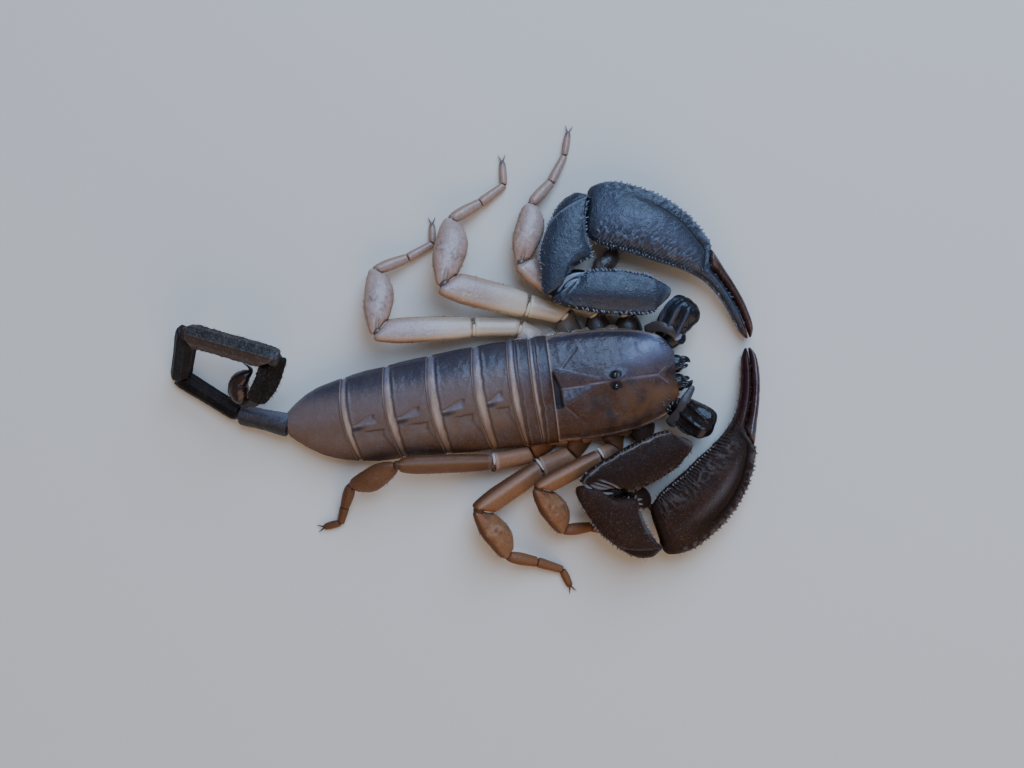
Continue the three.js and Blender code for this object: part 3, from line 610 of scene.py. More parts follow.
def piece(name, parts, material, slot, *nodes, hair_map=None):
    """Makes one object of all the parts, riding on the body and standing for these nodes of the frame."""
    parts = [outward(p.part() if isinstance(p, Skin) else p) for p in parts]
    names = sorted({n for p in parts for n in p[2]})
    starts = np.cumsum([0] + [len(p[0]) for p in parts])
    points = np.concatenate([p[0] for p in parts]) * MM + ORIGIN
    points[:, 2] = np.maximum(points[:, 2], 0.0)
    quads = np.concatenate([p[1][0] + s for p, s in zip(parts, starts)])
    tris = np.concatenate([p[1][1] + s for p, s in zip(parts, starts)])
    mesh = bpy.data.meshes.new(name)
    mesh.vertices.add(len(points))
    mesh.vertices.foreach_set("co", points.astype(np.float32).ravel())
    mesh.loops.add(quads.size + tris.size)
    mesh.loops.foreach_set("vertex_index", np.concatenate([quads.ravel(), tris.ravel()]).astype(np.int32))
    mesh.polygons.add(len(quads) + len(tris))
    begin = np.concatenate([np.arange(len(quads)) * 4, quads.size + np.arange(len(tris)) * 3])
    mesh.polygons.foreach_set("loop_start", begin.astype(np.int32))
    mesh.polygons.foreach_set("use_smooth", np.ones(len(begin), bool))
    for mask in names:
        values = np.concatenate([p[2].get(mask, np.zeros(len(p[0]))) for p in parts])
        mesh.attributes.new(mask, "FLOAT", "POINT").data.foreach_set("value", values.astype(np.float32))
    if hair_map is not None:
        corner = mesh.uv_layers.new(name="OFBake")
        uv = hair_map[np.concatenate([quads.ravel(), tris.ravel()])]
        corner.data.foreach_set("uv", uv.astype(np.float32).ravel())
    mesh.update(calc_edges=True)
    mesh.validate()
    made = bpy.data.objects.new(name, mesh)
    bpy.context.scene.collection.objects.link(made)
    made.data.materials.append(bpy.data.materials[material])
    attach(made, "root")
    if nodes:
        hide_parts(*nodes)


def stand_in(name, parts, material, slot):
    """Makes a piece that stands for the node of its own name, and keeps its first skin for bristles."""
    piece(name, parts, material, slot, name)
    GROWN[name] = parts[0]


# ---- shared effects in the materials ----

FLECK = (0.25, 0.22, 0.22, 1)
DUST = (0.55, 0.47, 0.42, 1)
# Colour of painted highlights: bluish sky reflections painted on lit surfaces.
PAINTED_HIGHLIGHT = (0.22, 0.26, 0.4, 1)
MATT_ROUGHNESS, GLOSS_ROUGHNESS = 0.75, 0.12
PATCH_SHARE = 0.22  # how far cloudy patches go from the own colour to the pale one
GRAIN_DEPTH = 0.00012
FLESH_RADIUS, FLESH_DEPTH = (1.0, 0.45, 0.25), 0.0007


def group(name, inputs, output):
    """An empty shader group with these colours and values as inputs, and the sockets at its two ends."""
    tree = bpy.data.node_groups.new(name, "ShaderNodeTree")
    for socket, default in inputs.items():
        kind = "NodeSocketColor" if isinstance(default, tuple) else "NodeSocketFloat"
        tree.interface.new_socket(name=socket, in_out="INPUT", socket_type=kind).default_value = default
    kind = "NodeSocketColor" if output == "Colour" else "NodeSocketFloat"
    tree.interface.new_socket(name=output, in_out="OUTPUT", socket_type=kind)
    return tree, tree.nodes.new("NodeGroupInput").outputs, tree.nodes.new("NodeGroupOutput").inputs[output]


def feed(tree, made, sources):
    """Gives each named or numbered input of a node its value, or a link from the socket that feeds it."""
    for name, source in sources.items():
        if isinstance(source, bpy.types.NodeSocket):
            tree.links.new(source, made.inputs[name])
        else:
            made.inputs[name].default_value = source


def node(tree, kind, sources, **settings):
    made = tree.nodes.new(kind)
    for name, value in settings.items():
        setattr(made, name, value)
    feed(tree, made, sources)
    return made


def mix(tree, share, first, second, blend="MIX"):
    sources = {0: share, 6: first, 7: second}
    return node(tree, "ShaderNodeMix", sources, data_type="RGBA", blend_type=blend).outputs[2]


def mix_values(tree, share, first, second):
    return node(tree, "ShaderNodeMix", {0: share, 2: first, 3: second}).outputs[0]


def math_of(tree, operation, first, second):
    return node(tree, "ShaderNodeMath", {0: first, 1: second}, operation=operation).outputs[0]


def spread(tree, value, low_end, high_end):
    """A smooth rise from 0 at low_end to 1 at high_end."""
    sources = {0: value, 1: low_end, 2: high_end, 3: 0.0, 4: 1.0}
    return node(tree, "ShaderNodeMapRange", sources, interpolation_type="SMOOTHSTEP").outputs[0]


def mask(tree, name):
    return node(tree, "ShaderNodeAttribute", {}, attribute_name=name).outputs["Fac"]


def place_in(tree):
    return node(tree, "ShaderNodeTexCoord", {}).outputs["Object"]


def noise_in(tree, scale, detail, roughness=0.5, distortion=0.0):
    sources = {"Vector": place_in(tree), "Scale": scale, "Detail": detail, "Roughness": roughness}
    return node(tree, "ShaderNodeTexNoise", {**sources, "Distortion": distortion}).outputs["Fac"]


def mottle_group():
    """Cloudy patches, small flecks and a film of fine dust over one colour."""
    tree, given, out = group("Scorpion mottle", {
        "Colour": (0.1, 0.1, 0.1, 1), "Patch": (0.2, 0.2, 0.2, 1), "Patches": 0.4, "Flecks": 0.3, "Dust": 0.1,
    }, "Colour")
    shade = given["Colour"]
    for scale, detail, roughness, ends, amount, over, blend in (
        (420.0, 4.0, 0.6, (0.42, 0.68), "Patches", given["Patch"], "MIX"),
        (3100.0, 3.0, 0.7, (0.62, 0.36), "Flecks", FLECK, "MULTIPLY"),
        (5200.0, 1.0, 0.5, (0.66, 0.74), "Dust", DUST, "MIX"),
    ):
        share = spread(tree, noise_in(tree, scale, detail, roughness), *ends)
        shade = mix(tree, math_of(tree, "MULTIPLY", share, given[amount]), shade, over, blend)
    tree.links.new(shade, out)


def paint_group():
    """Lays the painted marks of a surface over its own colour, painted highlights among them."""
    tree, given, out = group("Scorpion paint", {
        "Colour": (0.1, 0.1, 0.1, 1), "Pale": (0.5, 0.4, 0.3, 1), "Warm": (0.3, 0.15, 0.05, 1),
        "Dark": (0.01, 0.01, 0.01, 1), "Bloom": PAINTED_HIGHLIGHT,
    }, "Colour")
    shade = given["Colour"]
    for name in ("warm", "bloom", "pale", "dark"):
        shade = mix(tree, mask(tree, name), shade, given[name.capitalize()])
    tree.links.new(shade, out)


def grain_group():
    """Fine relief: pits and grains, with faint creases."""
    tree, given, out = group("Scorpion grain", {"Grains": 0.5, "Creases": 0.3, "Scale": 4000.0}, "Height")
    cells = node(tree, "ShaderNodeTexVoronoi", {"Vector": place_in(tree), "Scale": given["Scale"]})
    round_grains = spread(tree, cells.outputs["Distance"], 0.55, 0.1)
    creases = noise_in(tree, 1500.0, 5.0, distortion=0.6)
    height = math_of(tree, "ADD", math_of(tree, "MULTIPLY", round_grains, given["Grains"]),
                     math_of(tree, "MULTIPLY", creases, given["Creases"]))
    tree.links.new(height, out)


def sheen_group():
    """Roughness that changes over a surface: shiny patches of wear, a matt right side and painted gloss."""
    tree, given, out = group("Scorpion sheen", {"Dull": 0.5, "Shiny": 0.3, "Worn right": 0.0}, "Roughness")
    wear_and_highlight = spread(tree, noise_in(tree, 900.0, 5.0, 0.65), 0.35, 0.65)
    rough = mix_values(tree, wear_and_highlight, given["Dull"], given["Shiny"])
    matt = math_of(tree, "MULTIPLY", mask(tree, "right"), given["Worn right"])
    rough = mix_values(tree, matt, rough, MATT_ROUGHNESS)
    tree.links.new(mix_values(tree, mask(tree, "gloss"), rough, GLOSS_ROUGHNESS), out)


def rgba(shade):
    return (*shade, 1.0)


def times(shade, amount):
    return tuple(v * amount for v in shade)


def blended(a, b, share):
    return tuple(x + (y - x) * share for x, y in zip(a, b))


def cuticle(name, base, pale, warm=(0.2, 0.1, 0.05), dark=(0.006, 0.005, 0.006), patch=None, patches=0.4,
            flecks=0.35, dust=0.1, dull=0.46, shiny=0.3, grain=0.5, creases=0.3, scale=4200.0, bump=0.25,
            painted_light_colour=None, coat=0.0, soft=0.0, level=0.5, worn_right=0.0):
    """The finish of a hard or soft part. Where the mask called right is 1, the colour turns to the one given
    for that side, which is painted light: warm shade on the right half of the back and a sky reflection on
    the first tail length.
    """
    made = bpy.data.materials.new(name)
    made.use_nodes = True
    tree = made.node_tree

    def effect(kind, sources):
        placed = node(tree, "ShaderNodeGroup", sources, node_tree=bpy.data.node_groups[f"Scorpion {kind}"])
        return placed.outputs[0]

    own = rgba(base)
    if painted_light_colour is not None:
        own = mix(tree, mask(tree, "right"), own, rgba(painted_light_colour))
    shade = effect("mottle", {"Colour": own, "Patch": rgba(patch or blended(base, pale, PATCH_SHARE)),
                              "Patches": patches, "Flecks": flecks, "Dust": dust})
    shade = effect("paint", {"Colour": shade, "Pale": rgba(pale), "Warm": rgba(warm), "Dark": rgba(dark)})
    height = effect("grain", {"Grains": grain, "Creases": creases, "Scale": scale})
    raised = node(tree, "ShaderNodeBump", {"Height": height, "Strength": bump, "Distance": GRAIN_DEPTH})
    finish = {
        "Base Color": shade, "Normal": raised.outputs["Normal"], "Specular IOR Level": level,
        "Roughness": effect("sheen", {"Dull": dull, "Shiny": shiny, "Worn right": worn_right}),
        "Coat Weight": coat, "Coat Roughness": 0.2,
    }
    if worn_right:
        on_left = math_of(tree, "SUBTRACT", 1.0, mask(tree, "right"))
        finish["Coat Weight"] = math_of(tree, "MULTIPLY", on_left, coat)
    if soft:
        finish.update({"Subsurface Weight": soft, "Subsurface Radius": FLESH_RADIUS,
                       "Subsurface Scale": FLESH_DEPTH})
    feed(tree, tree.nodes["Principled BSDF"], finish)


def make_materials():
    for build in (mottle_group, paint_group, grain_group, sheen_group):
        build()
    c = bpy.context.scene.scorpion_colours
    skin = tuple(c.soft_skin)
    # The back's own colour carries a painted blue sky reflection on the left half and turns to a painted
    # warm-shaded brown on the right half; its warm colour is also laid over the right half as painted warm
    # shade.
    cuticle("Back plates", c.shell_lit_left, (0.46, 0.31, 0.22), warm=(0.135, 0.057, 0.02),
            dark=(0.012, 0.01, 0.013), patch=(0.1, 0.075, 0.07), dust=0.15, dull=0.44, grain=0.35,
            creases=0.5, painted_light_colour=c.shell_shaded_right, coat=0.2, level=0.3, worn_right=0.65)
    cuticle("Belly plates", (0.14, 0.085, 0.055), skin, dull=0.5, shiny=0.35)
    cuticle("Soft folds", skin, (0.55, 0.46, 0.36), warm=(0.32, 0.13, 0.045), dark=(0.05, 0.022, 0.014),
            dull=0.42, shiny=0.2, creases=0.8, coat=0.3, soft=0.2)
    cuticle("Dark folds", (0.022, 0.014, 0.013), (0.09, 0.05, 0.04), dull=0.5, creases=0.8)
    # Each pincer's own colour is painted light: the left carries a blue sky reflection, the right brown
    # shade. The left's bluish pale colour, laid on ridges, knobs and teeth, is a painted highlight.
    for side, wear_and_highlight, dust, dull, shiny, level, coat in (
        ("left", (0.42, 0.5, 0.62), 0.1, 0.49, 0.34, 0.5, 0.08),
        ("right", (0.55, 0.52, 0.5), 0.16, 0.58, 0.42, 0.1, 0.0),
    ):
        own = getattr(c, f"pincer_{side}")
        cuticle(f"Pincer {side}", own, blended(own, wear_and_highlight, 0.55), warm=c.finger, dark=times(own, 0.22),
                patch=times(own, 1.6), patches=0.5, flecks=0.5, dust=dust, dull=dull, shiny=shiny, grain=0.9,
                scale=3600.0, bump=0.3, coat=coat, level=level)
        # The arm bases, chelicerae and the joint balls of the arms are painted near black, far darker than
        # the pincer's own colour, as painted shade under the head and between the arm's lengths.
        base = blended(times(own, 0.4), (0.008, 0.009, 0.012), 0.6)
        cuticle(f"Arm base {side}", base, (0.16, 0.12, 0.1), warm=(0.056, 0.045, 0.04),
                patch=times(base, 1.6), dust=0.04, dull=0.44, shiny=0.24, grain=0.3, creases=0.6, coat=0.14,
                level=0.3)
    # The legs' pale and warm colours also differ by side as painted light: pale cream on the lit left, deep
    # orange on the shaded right.
    for side, pale, warm, dull, shiny, coat, level in (
        ("left", (0.66, 0.57, 0.4), (0.4, 0.2, 0.08), 0.4, 0.26, 0.25, 0.5),
        ("right", (0.56, 0.44, 0.36), (0.22, 0.075, 0.022), 0.5, 0.36, 0.0, 0.2),
    ):
        own = getattr(c, f"leg_{side}")
        cuticle(f"Legs {side}", own, pale, warm=warm, dark=(0.022, 0.011, 0.008), patch=times(own, 1.25),
                flecks=0.3, dust=0.12, dull=dull, shiny=shiny, grain=0.35, creases=0.6, coat=coat, soft=0.12,
                level=level)
    cuticle("Finger", c.finger, (0.35, 0.22, 0.2), dark=(0.008, 0.003, 0.004), dull=0.36, shiny=0.22,
            coat=0.3)
    # The colour given for the other side is a lighter blue-grey, a painted sky reflection on the top of the
    # first tail length.
    for name, level, dull, shiny in (("Tail", 0.5, 0.46, 0.32), ("Tail, matt", 0.12, 0.6, 0.45)):
        cuticle(name, c.tail, (0.28, 0.2, 0.17), warm=(0.06, 0.034, 0.02), dark=(0.005, 0.004, 0.005),
                grain=0.9, scale=3300.0, bump=0.4, dull=dull, shiny=shiny, coat=0.05, level=level,
                painted_light_colour=(0.112, 0.112, 0.145))
    cuticle("Sting", c.sting, (0.2, 0.1, 0.08), dark=(0.004, 0.002, 0.002), dull=0.34, shiny=0.2, coat=0.3)
    cuticle("Lens", c.lens, (0.05, 0.05, 0.06), patches=0.0, flecks=0.0, dust=0.0, dull=0.07, shiny=0.04,
            bump=0.0, coat=1.0)
    for name, shade in (("Bristles", (0.13, 0.075, 0.04)), ("Pale bristles", (0.5, 0.54, 0.6))):
        cuticle(name, shade, (0.8, 0.8, 0.8), patches=0.0, flecks=0.2, dust=0.0, dull=0.35, shiny=0.25,
                bump=0.05)


# ---- trunk ----


def trunk_skin(y, lean, sides=300):
    """The trunk's surface over rows at these distances behind the carapace's rear margin."""
    half, edge = smooth(TRUNK_HALF_WIDTH, y)[:, None], smooth(TRUNK_EDGE, y)[:, None]
    top, bottom = smooth(TRUNK_TOP, y)[:, None] - edge, edge - smooth(TRUNK_BOTTOM, y)[:, None]
    above = int(sides * 0.72)
    angle = np.concatenate([
        np.linspace(0, np.pi, above, endpoint=False),
        np.linspace(np.pi, 2 * np.pi, sides - above, endpoint=False)
    ])
    x, z = section(angle[None, :], half, half, top, bottom, 2.4)
    points = np.stack([x + smooth(TRUNK_SWAY, y)[:, None], y[:, None] + lean(x / half), edge + z], -1)
    return Skin(points, (y - y[0])[:, None], x / half, np.where(z > 0, z / top, z / bottom), half)


def from_line(x, y, a, b):
    """Distance of points from the line between a and b."""
    a, b = np.array(a, float), np.array(b, float)
    along = b - a
    t = clamp(((x - a[0]) * along[0] + (y - a[1]) * along[1]) / (along @ along))
    return np.hypot(x - a[0] - t * along[0], y - a[1] - t * along[1])


def carapace_relief(skin):
    x, y = skin.plan()
    top = step(0.02, 0.3, skin.rise)
    edge = (1 - abs(skin.sideways)) * skin.width
    middle = -0.26 + 0.36 * step(-2, -9, y)
    dx = x - middle
    height = 0.025 * skin.grains(0.34, 11) + 0.05 * skin.noise(0.7, 12, 3, [0.55, 1, 1])
    height += 0.1 * skin.noise(1.7, 14, 2, [0.6, 1, 1])
    height += 0.04 * skin.grains(0.5, 13, 0.5) * step(3, 0.6, edge)
    # Frontal lobes with the furrow between them.
    height += 0.62 * bell(x, 4.1, 2.3) * bell(y, -15, 2.7)
    height += 0.14 * bell(x, -3.3, 1.9) * bell(y, -14.6, 2.8)
    height -= (0.1 + 0.2 * step(-0.9, 0.3, dx)) * bell(dx, 0, 0.95) * step(-10.5, -13, y)
    # The eye tubercle, parted by the middle line.
    height += 0.3 * np.exp(-((dx / 1.25) ** 2) ** 1.3 - (((y - EYE_STATION) / 1.55) ** 2) ** 1.2)
    height -= 0.16 * bell(dx, 0, 0.3) * bell(y, EYE_STATION, 1.2)
    # The hollow triangle at the rear, with flat walls that meet on the middle line.
    reach = clamp((y + 8.2) / 7.2)
    wall = clamp(1 - abs(dx) / (0.3 + np.where(dx > 0, 2.3 * reach, 2.5 * reach**1.5)))
    height -= 0.58 * reach**0.8 * wall
    trough_front = -0.35 - 0.85 * step(3, -0.4, dx) - 0.12 * skin.noise(1.1, 18, 2)
    trough = step(2.95, 2.5, abs(dx)) * step(-0.15, 0.15, y - trough_front) * step(-0.1, -0.3, y)
    height = height * (1 - trough) - 0.8 * trough
    pits = 0
    for k in (1, -1):
        away = np.hypot((dx - k * 0.8) / 0.62, (y - EYE_STATION + 0.05) / 0.95)
        away += 0.5 * skin.noise(0.55, 16 + k, 3)
        pits = np.maximum(pits, step(1.15, 0.7, away))
        height -= 0.24 * step(1.2, 0.6, away)
    rear = bell(y, -0.02, 0.16)
    height += 0.05 * rear
    lines = 0
    # The middle line forks to both frontal lobes.
    ahead = step(-1, -1.5, y) * step(-16.2, -15.8, y)
    clear = 1 - 0.85 * bell(y, EYE_STATION, 0.9)
    lines = np.maximum(lines, bell(dx, 0, 0.08) * ahead * clear)
    for side in (1, -1):
        lines = np.maximum(lines, 0.45 * bell(from_line(x, y, (0.1, -15.9), (side * 1.2, -17.2)), 0, 0.1))
        furrow = from_line(x, y, (side * 3, -1.8), (side * 5.6, -4.2))
        height -= 0.12 * bell(furrow, 0, 0.22)
        short, long = (0.7, 0.35) if side > 0 else (0.25, 0.08)
        slope = from_line(x, y, (side * 2.9, -1.55), (side * 4.7, -3.2))
        lines = np.maximum(lines, short * bell(slope, 0, 0.07))
        slope = from_line(x, y, (middle.mean() + side * 3, -1), (side * 0.5 + 0.1, -7.2))
        lines = np.maximum(lines, long * bell(slope, 0, 0.1))
        side_line = from_line(x, y, (side * 5.2, -12.6), (side * 4.3, -7))
        height -= 0.07 * bell(side_line, 0, 0.5)
    lines = lines * top
    height += 0.05 * lines
    # The beaded side margin.
    margin = step(-17.8, -16.4, y) * step(-0.55, 0, skin.rise)
    bead = bell(edge, 0.16, 0.15) * margin
    height += 0.1 * bead - 0.06 * bell(edge, 0.7, 0.3) * margin
    skin.lift(height)
    eyes = np.exp(-((dx / 1.35) ** 2) ** 2 - (((y - EYE_STATION) / 1.05) ** 2) ** 2)
    cloud = 0.75 + 0.35 * skin.noise(1.1, 19, 3, [0.6, 1, 1])
    lobe = 0.85 * bell(x, 4.5, 1.7) * bell(y, -15.4, 2.3) + 0.45 * bell(x, 3.3, 1.6) * bell(y, -12.6, 2.4)
    streaks = step(0.3, 0.75, skin.noise(0.75, 20, 3, [0.45, 1.7, 1]))
    streaks = streaks * step(0.9, 2, x) * step(6.4, 5.2, x)
    on_floor = step(0, 0.25, wall * reach)  # of the hollow triangle
    blotches = step(0, 0.55, skin.noise(2, 17, 4, [0.7, 1, 1])) * step(0.4, -0.6, dx)
    corners = bell(np.hypot(abs(x) - 4.9, y + 17.1), 0, 0.85)
    # Painted light: the bluish marks are a painted sky highlight on the front-left lobe, on streaks over the
    # left half and on the ridge lines; the pale ridge lines and beaded rim are painted highlights; the right
    # mask turns the right half and part of the hollow's wall to the painted shaded colour, and warm lays
    # painted warm shade there; the trough, the groove inside the rim and the underside are darkened as
    # painted shade.
    skin.mark(
        bloom=strongest(lobe * cloud, 0.32 * streaks, 0.42 * lines) * top,
        pale=strongest(0.28 * lines, 0.6 * bead * step(-0.2, 0.1, skin.rise), 0.6 * rear * top),
        dark=strongest(0.3 * eyes, 0.97 * pits, 0.95 * trough, 0.55 * blotches, 0.7 * corners,
                       0.2 * bell(edge, 0.7, 0.28) * margin, step(0.2, -0.6, skin.rise) * 0.6),
        right=np.maximum(step(0.8, -0.4, dx), step(3.3, 2.7, dx) * on_floor * step(-0.2, 0.2, dx) * 0.4)
        * (1 - 0.8 * step(0, -0.3, dx) * on_floor),
        warm=clamp(skin.noise(2.6, 15, 3) * 1.5 + 0.5 * bell(y, -14.5, 3)) * step(0.6, -1.2, dx) * 0.9,
        gloss=np.maximum(0.25 * step(0, 0.6, wall * reach) * step(0.3, -0.3, dx),
                         0.12 * bell(x, 5, 1.7) * bell(y, -15.2, 2.2)) * (1 - pits),
    )


class OBJECT_OT_scorpion_carapace(bpy.types.Operator):
    """Build the head shield"""

    bl_idname = "object.scorpion_carapace"
    bl_label = "Carapace"

    def execute(self, context):
        y = CARAPACE_LENGTH * (places(CARAPACE_LENGTH, spacing_mm() * 0.85, 0.6) - 1)
        skin = trunk_skin(y, lambda u: 0 * u, 340)
        from_front = (y + CARAPACE_LENGTH)[:, None]
        thin = 0.15 + 0.85 * np.sqrt(1 - (1 - clamp(from_front / 0.7)) ** 2)
        edge = smooth(TRUNK_EDGE, y)[:, None] + 0.05
        skin.points[..., 2] = edge + (skin.points[..., 2] - edge) * thin
        near = clamp(1 - from_front / FRONT_NOTCH["reach"])
        across = bell(skin.points[..., 0], 0, FRONT_NOTCH["half_width"])
        skin.points[..., 1] += FRONT_NOTCH["depth"] * near * across
        carapace_relief(skin)
        stand_in("carapace", [skin], "Back plates", "shell")
        return {"FINISHED"}


class OBJECT_OT_scorpion_eyes(bpy.types.Operator):
    """Build the two middle eyes and the row of three at each front corner"""

    bl_idname = "object.scorpion_eyes"
    bl_label = "Eyes"

    def execute(self, context):
        eye, row = MEDIAN_EYE, LATERAL_EYE
        for name, side in SIDES:
            middle = np.array([eye["spread"] * side + 0.08, EYE_STATION, eye["height"]])
            lens = ball(middle, np.array([1, 1.15, 1]) * eye["radius"], 40)
            stand_in(f"median_eye_{name}", [lens], "Lens", "lens")
            lenses = []
            for k in range(3):
                at = [(row["side"] + k * row["slope"]) * side, row["front"] + k * row["pitch"],
                      row["height"] - k * row["drop"]]
                lenses.append(ball(np.array(at), [row["radius"]] * 3, 28))
            stand_in(f"lateral_eyes_{name}", lenses, "Lens", "lens")
        return {"FINISHED"}


def facet(height, inside, across, depth):
    """Tilts the surface inside a mask: it falls by depth as across goes from 0 to 1."""
    return height - depth * inside * clamp(across)


def tergite_relief(skin, index, span):
    """The relief and marks of one trunk ring, whose plate ends in a band of soft skin."""
    x, y = skin.plan()
    t, left_over = skin.way, span - skin.way
    u, rise = skin.sideways, skin.rise
    top = step(-0.1, 0.25, rise)
    dx = x - smooth(TRUNK_SWAY, y) - smooth(TERGITE_MIDLINE, y)
    last = index == 6
    wave = skin.noise(0.9, 40 + index, 3, [1, 0, 1])
    band = 0 if last else BAND_WIDTHS[index + 1] * (1 - 0.35 * abs(u) ** 2.5)
    band = band * (0.55 + 0.45 * top) + 0.1 * wave
    ends = np.zeros_like(t) if last else step(band + 0.1, band - 0.16, left_over)
    rough = skin.noise(0.8, 22 + index, 3, [0.7, 1, 1])
    height = 0.02 * skin.grains(0.32, 21 + index) + 0.035 * rough
    height += 0.05 * skin.noise(1.9, 28 + index, 2, [0.5, 1, 1])
    height += 0.09 * bell(t, 0.06, 0.12) * top - 0.17 * ends
    if not last:
        across_band = clamp(left_over / np.maximum(band, 0.1))
        height += 0.13 * ends * np.sin(np.pi * across_band) ** 0.7
        height += 0.012 * ends * skin.noise(0.5, 33, 2, [0.3, 3, 1])
        height += 0.06 * bell(left_over, band + 0.3, 0.2) * top
    plate = (1 - ends) * top * step(0.2, 0.35, t)
    shine, shade, ridge_highlight, bloom, low = 0, 0, 0, 0, 0
    cloud = 0.8 + 0.4 * skin.noise(1.1, 29 + index, 3, [0.6, 1, 1])
    if 1 < index < 6:
        long = span - 0.3 - np.asarray(band)
        share = np.clip((t - 0.3) / long, 0, 1.2)
        # A keel at the rear: a facet falls away from it to the left, and a groove runs along its right.
        spread_out = 0.25 + 1.15 * step(1, 0.3, share)
        rough_edge = 0.16 * skin.noise(0.7, 50 + index, 3)
        inside = step(-0.12, 0.1, dx) * step(spread_out + 0.16, spread_out - 0.08, dx + rough_edge)
        inside = inside * step(0.22, 0.36, share + 0.4 * rough_edge)
        height = facet(height, inside * plate, dx / spread_out, 0.24)
        shine = 0.65 * inside
        inside_edge = 4 * inside * (1 - inside) * step(0.3, 0.9, dx / spread_out)
        groove = bell(dx, -0.22 - 0.25 * share, 0.17 + 0.16 * share) * step(0.5, 0.85, share)
        height -= 0.24 * groove * plate
        shade = groove
        # On the right, a lower-lying patch near the front with a sharp inner step.
        low_patch = step(-0.98, -1.22, dx + rough_edge) * step(-2.8, -2.35, dx + rough_edge)
        low_patch = low_patch * step(0.1, 0.16, share) * step(0.62, 0.5, share + 0.4 * rough_edge)
        height = facet(height, low_patch * plate, (dx + 2.6) / 1.5, 0.2)
        low = low_patch * step(-2.6, -1.6, dx) * (0.6 + 0.8 * skin.noise(0.5, 36 + index, 3))
        # The facet gets a bluish painted highlight, strongest near the keel.
        wear_and_highlight = 0.7 + 0.9 * skin.noise(0.45, 43 + index, 3)
        bloom = 0.26 * inside * wear_and_highlight * step(1.1, 0.2, dx / spread_out)
        inner_step = bell(dx + rough_edge, -1.02, 0.13) * step(0.02, 0.12, share) * step(0.75, 0.6, share)
        height -= 0.05 * inner_step * plate
        shade = strongest(shade, 0.6 * inner_step, 0.45 * inside_edge, 1.2 * low_patch * (1 - low_patch)
                          * step(-2.4, -1.4, dx))
        # A low step runs on each side from the front corner back towards the middle.
        away = from_line(abs(dx), t, (4.4, 0.15), (1.9, 1.05))
        height += 0.04 * bell(away, 0.05, 0.2) * plate
        shade = np.maximum(shade, 0.4 * bell(away, 0.12, 0.14) * step(0.3, -0.3, dx))
        # Pale lines along this step on the left, and two short ones beside it, are painted highlights.
        faint = step(-0.1, 0.5, rough)
        ridge_highlight = np.maximum(ridge_highlight, 0.35 * faint * bell(away, 0, 0.08) * step(-0.3, 0.3, dx))
        for start, end in (((2.6, 0.3), (1.8, 0.74)), ((3.1, 0.26), (2.4, 0.58))):
            a = (start[0], 0.5 + start[1] * long.mean())
            b = (end[0], 0.5 + end[1] * long.mean())
            ridge_highlight = np.maximum(ridge_highlight, 0.4 * faint * bell(from_line(dx, t, a, b), 0, 0.06))
    elif index <= 1:
        # The two short rings have a second ridge before the band, and a sunk middle.
        second = bell(left_over, band + 0.62 + 0.1 * wave, 0.13)
        height += 0.1 * second * top
        height -= 0.12 * bell(left_over, band + 0.34, 0.12) * top
        height -= 0.1 * bell(dx, 0.6, 1.6) * step(0.3, 0.6, t) * step(band, band + 0.5, left_over)
        # The second ridge is painted pale as a highlight.
        ridge_highlight = 0.5 * second
        shade = 0.55 * bell(left_over, band + 0.34, 0.1) * step(3.2, 1.8, dx)
    else:
        height += 0.05 * bell(abs(dx), 1.6, 0.5) * step(0.5, 3, t) * step(6.5, 3, t)
        # A pale line on each side is painted as a highlight.
        ridge_highlight = 0.25 * bell(from_line(abs(dx), t, (2.6, 0.8), (1.2, 4.2)), 0, 0.09)
    # The sides swell between the joints; below them come soft folds, and belly plates under those.
    margin = bell(rise, 0, 0.3)
    swell = np.sin(np.pi * clamp(t / np.maximum(span - np.asarray(band), 0.1))) ** 0.6
    height += 0.12 * margin * swell
    flank = step(-0.06, -0.16, rise) * step(-0.75, -0.5, rise)
    pleats = np.sin(rise * 40 + 0.8 * skin.noise(2, 60 + index))
    height += (0.05 * pleats - 0.1) * flank
    lip = bell(rise, 0, 0.09) * (1 - ends)
    height += 0.06 * lip
    belly = step(-0.8, -0.95, rise)
    for side in (1, -1):
        slit = from_line(x, t, (side * 3.6, 0.45 * span), (side * 4.6, 0.4 * span))
        height -= 0.12 * bell(slit, 0, 0.13) * belly
    skin.lift(height)
    rearward = step(0.5, 8, y)
    right = step(3.6 + 1.2 * rearward, 0.2 + 0.5 * rearward, dx) * (1 - 0.9 * clamp(shine))
    ridge = bell(t, 0.05, 0.1) * (0.75 + 0.25 * wave) * (index > 0)
    soft_amount = np.zeros_like(t)
    if not last:
        stripes = 0.48 + 0.4 * bell(across_band, 0.5, 0.24) + 0.35 * skin.noise(0.6, 70, 2, [0.4, 2.4, 1])
        soft_amount = ends * clamp(stripes) * step(-0.9, 0, rise)
        soft_amount = soft_amount * (1 - 0.78 * step(0, -5.2, dx)) * (0.55 + 0.45 * step(0.1, 0.7, rise))
        soft_amount = soft_amount * (0.35 + 0.65 * step(6.3, 5, dx)) * (1 - 0.3 * step(0.8, 3.6, dx))
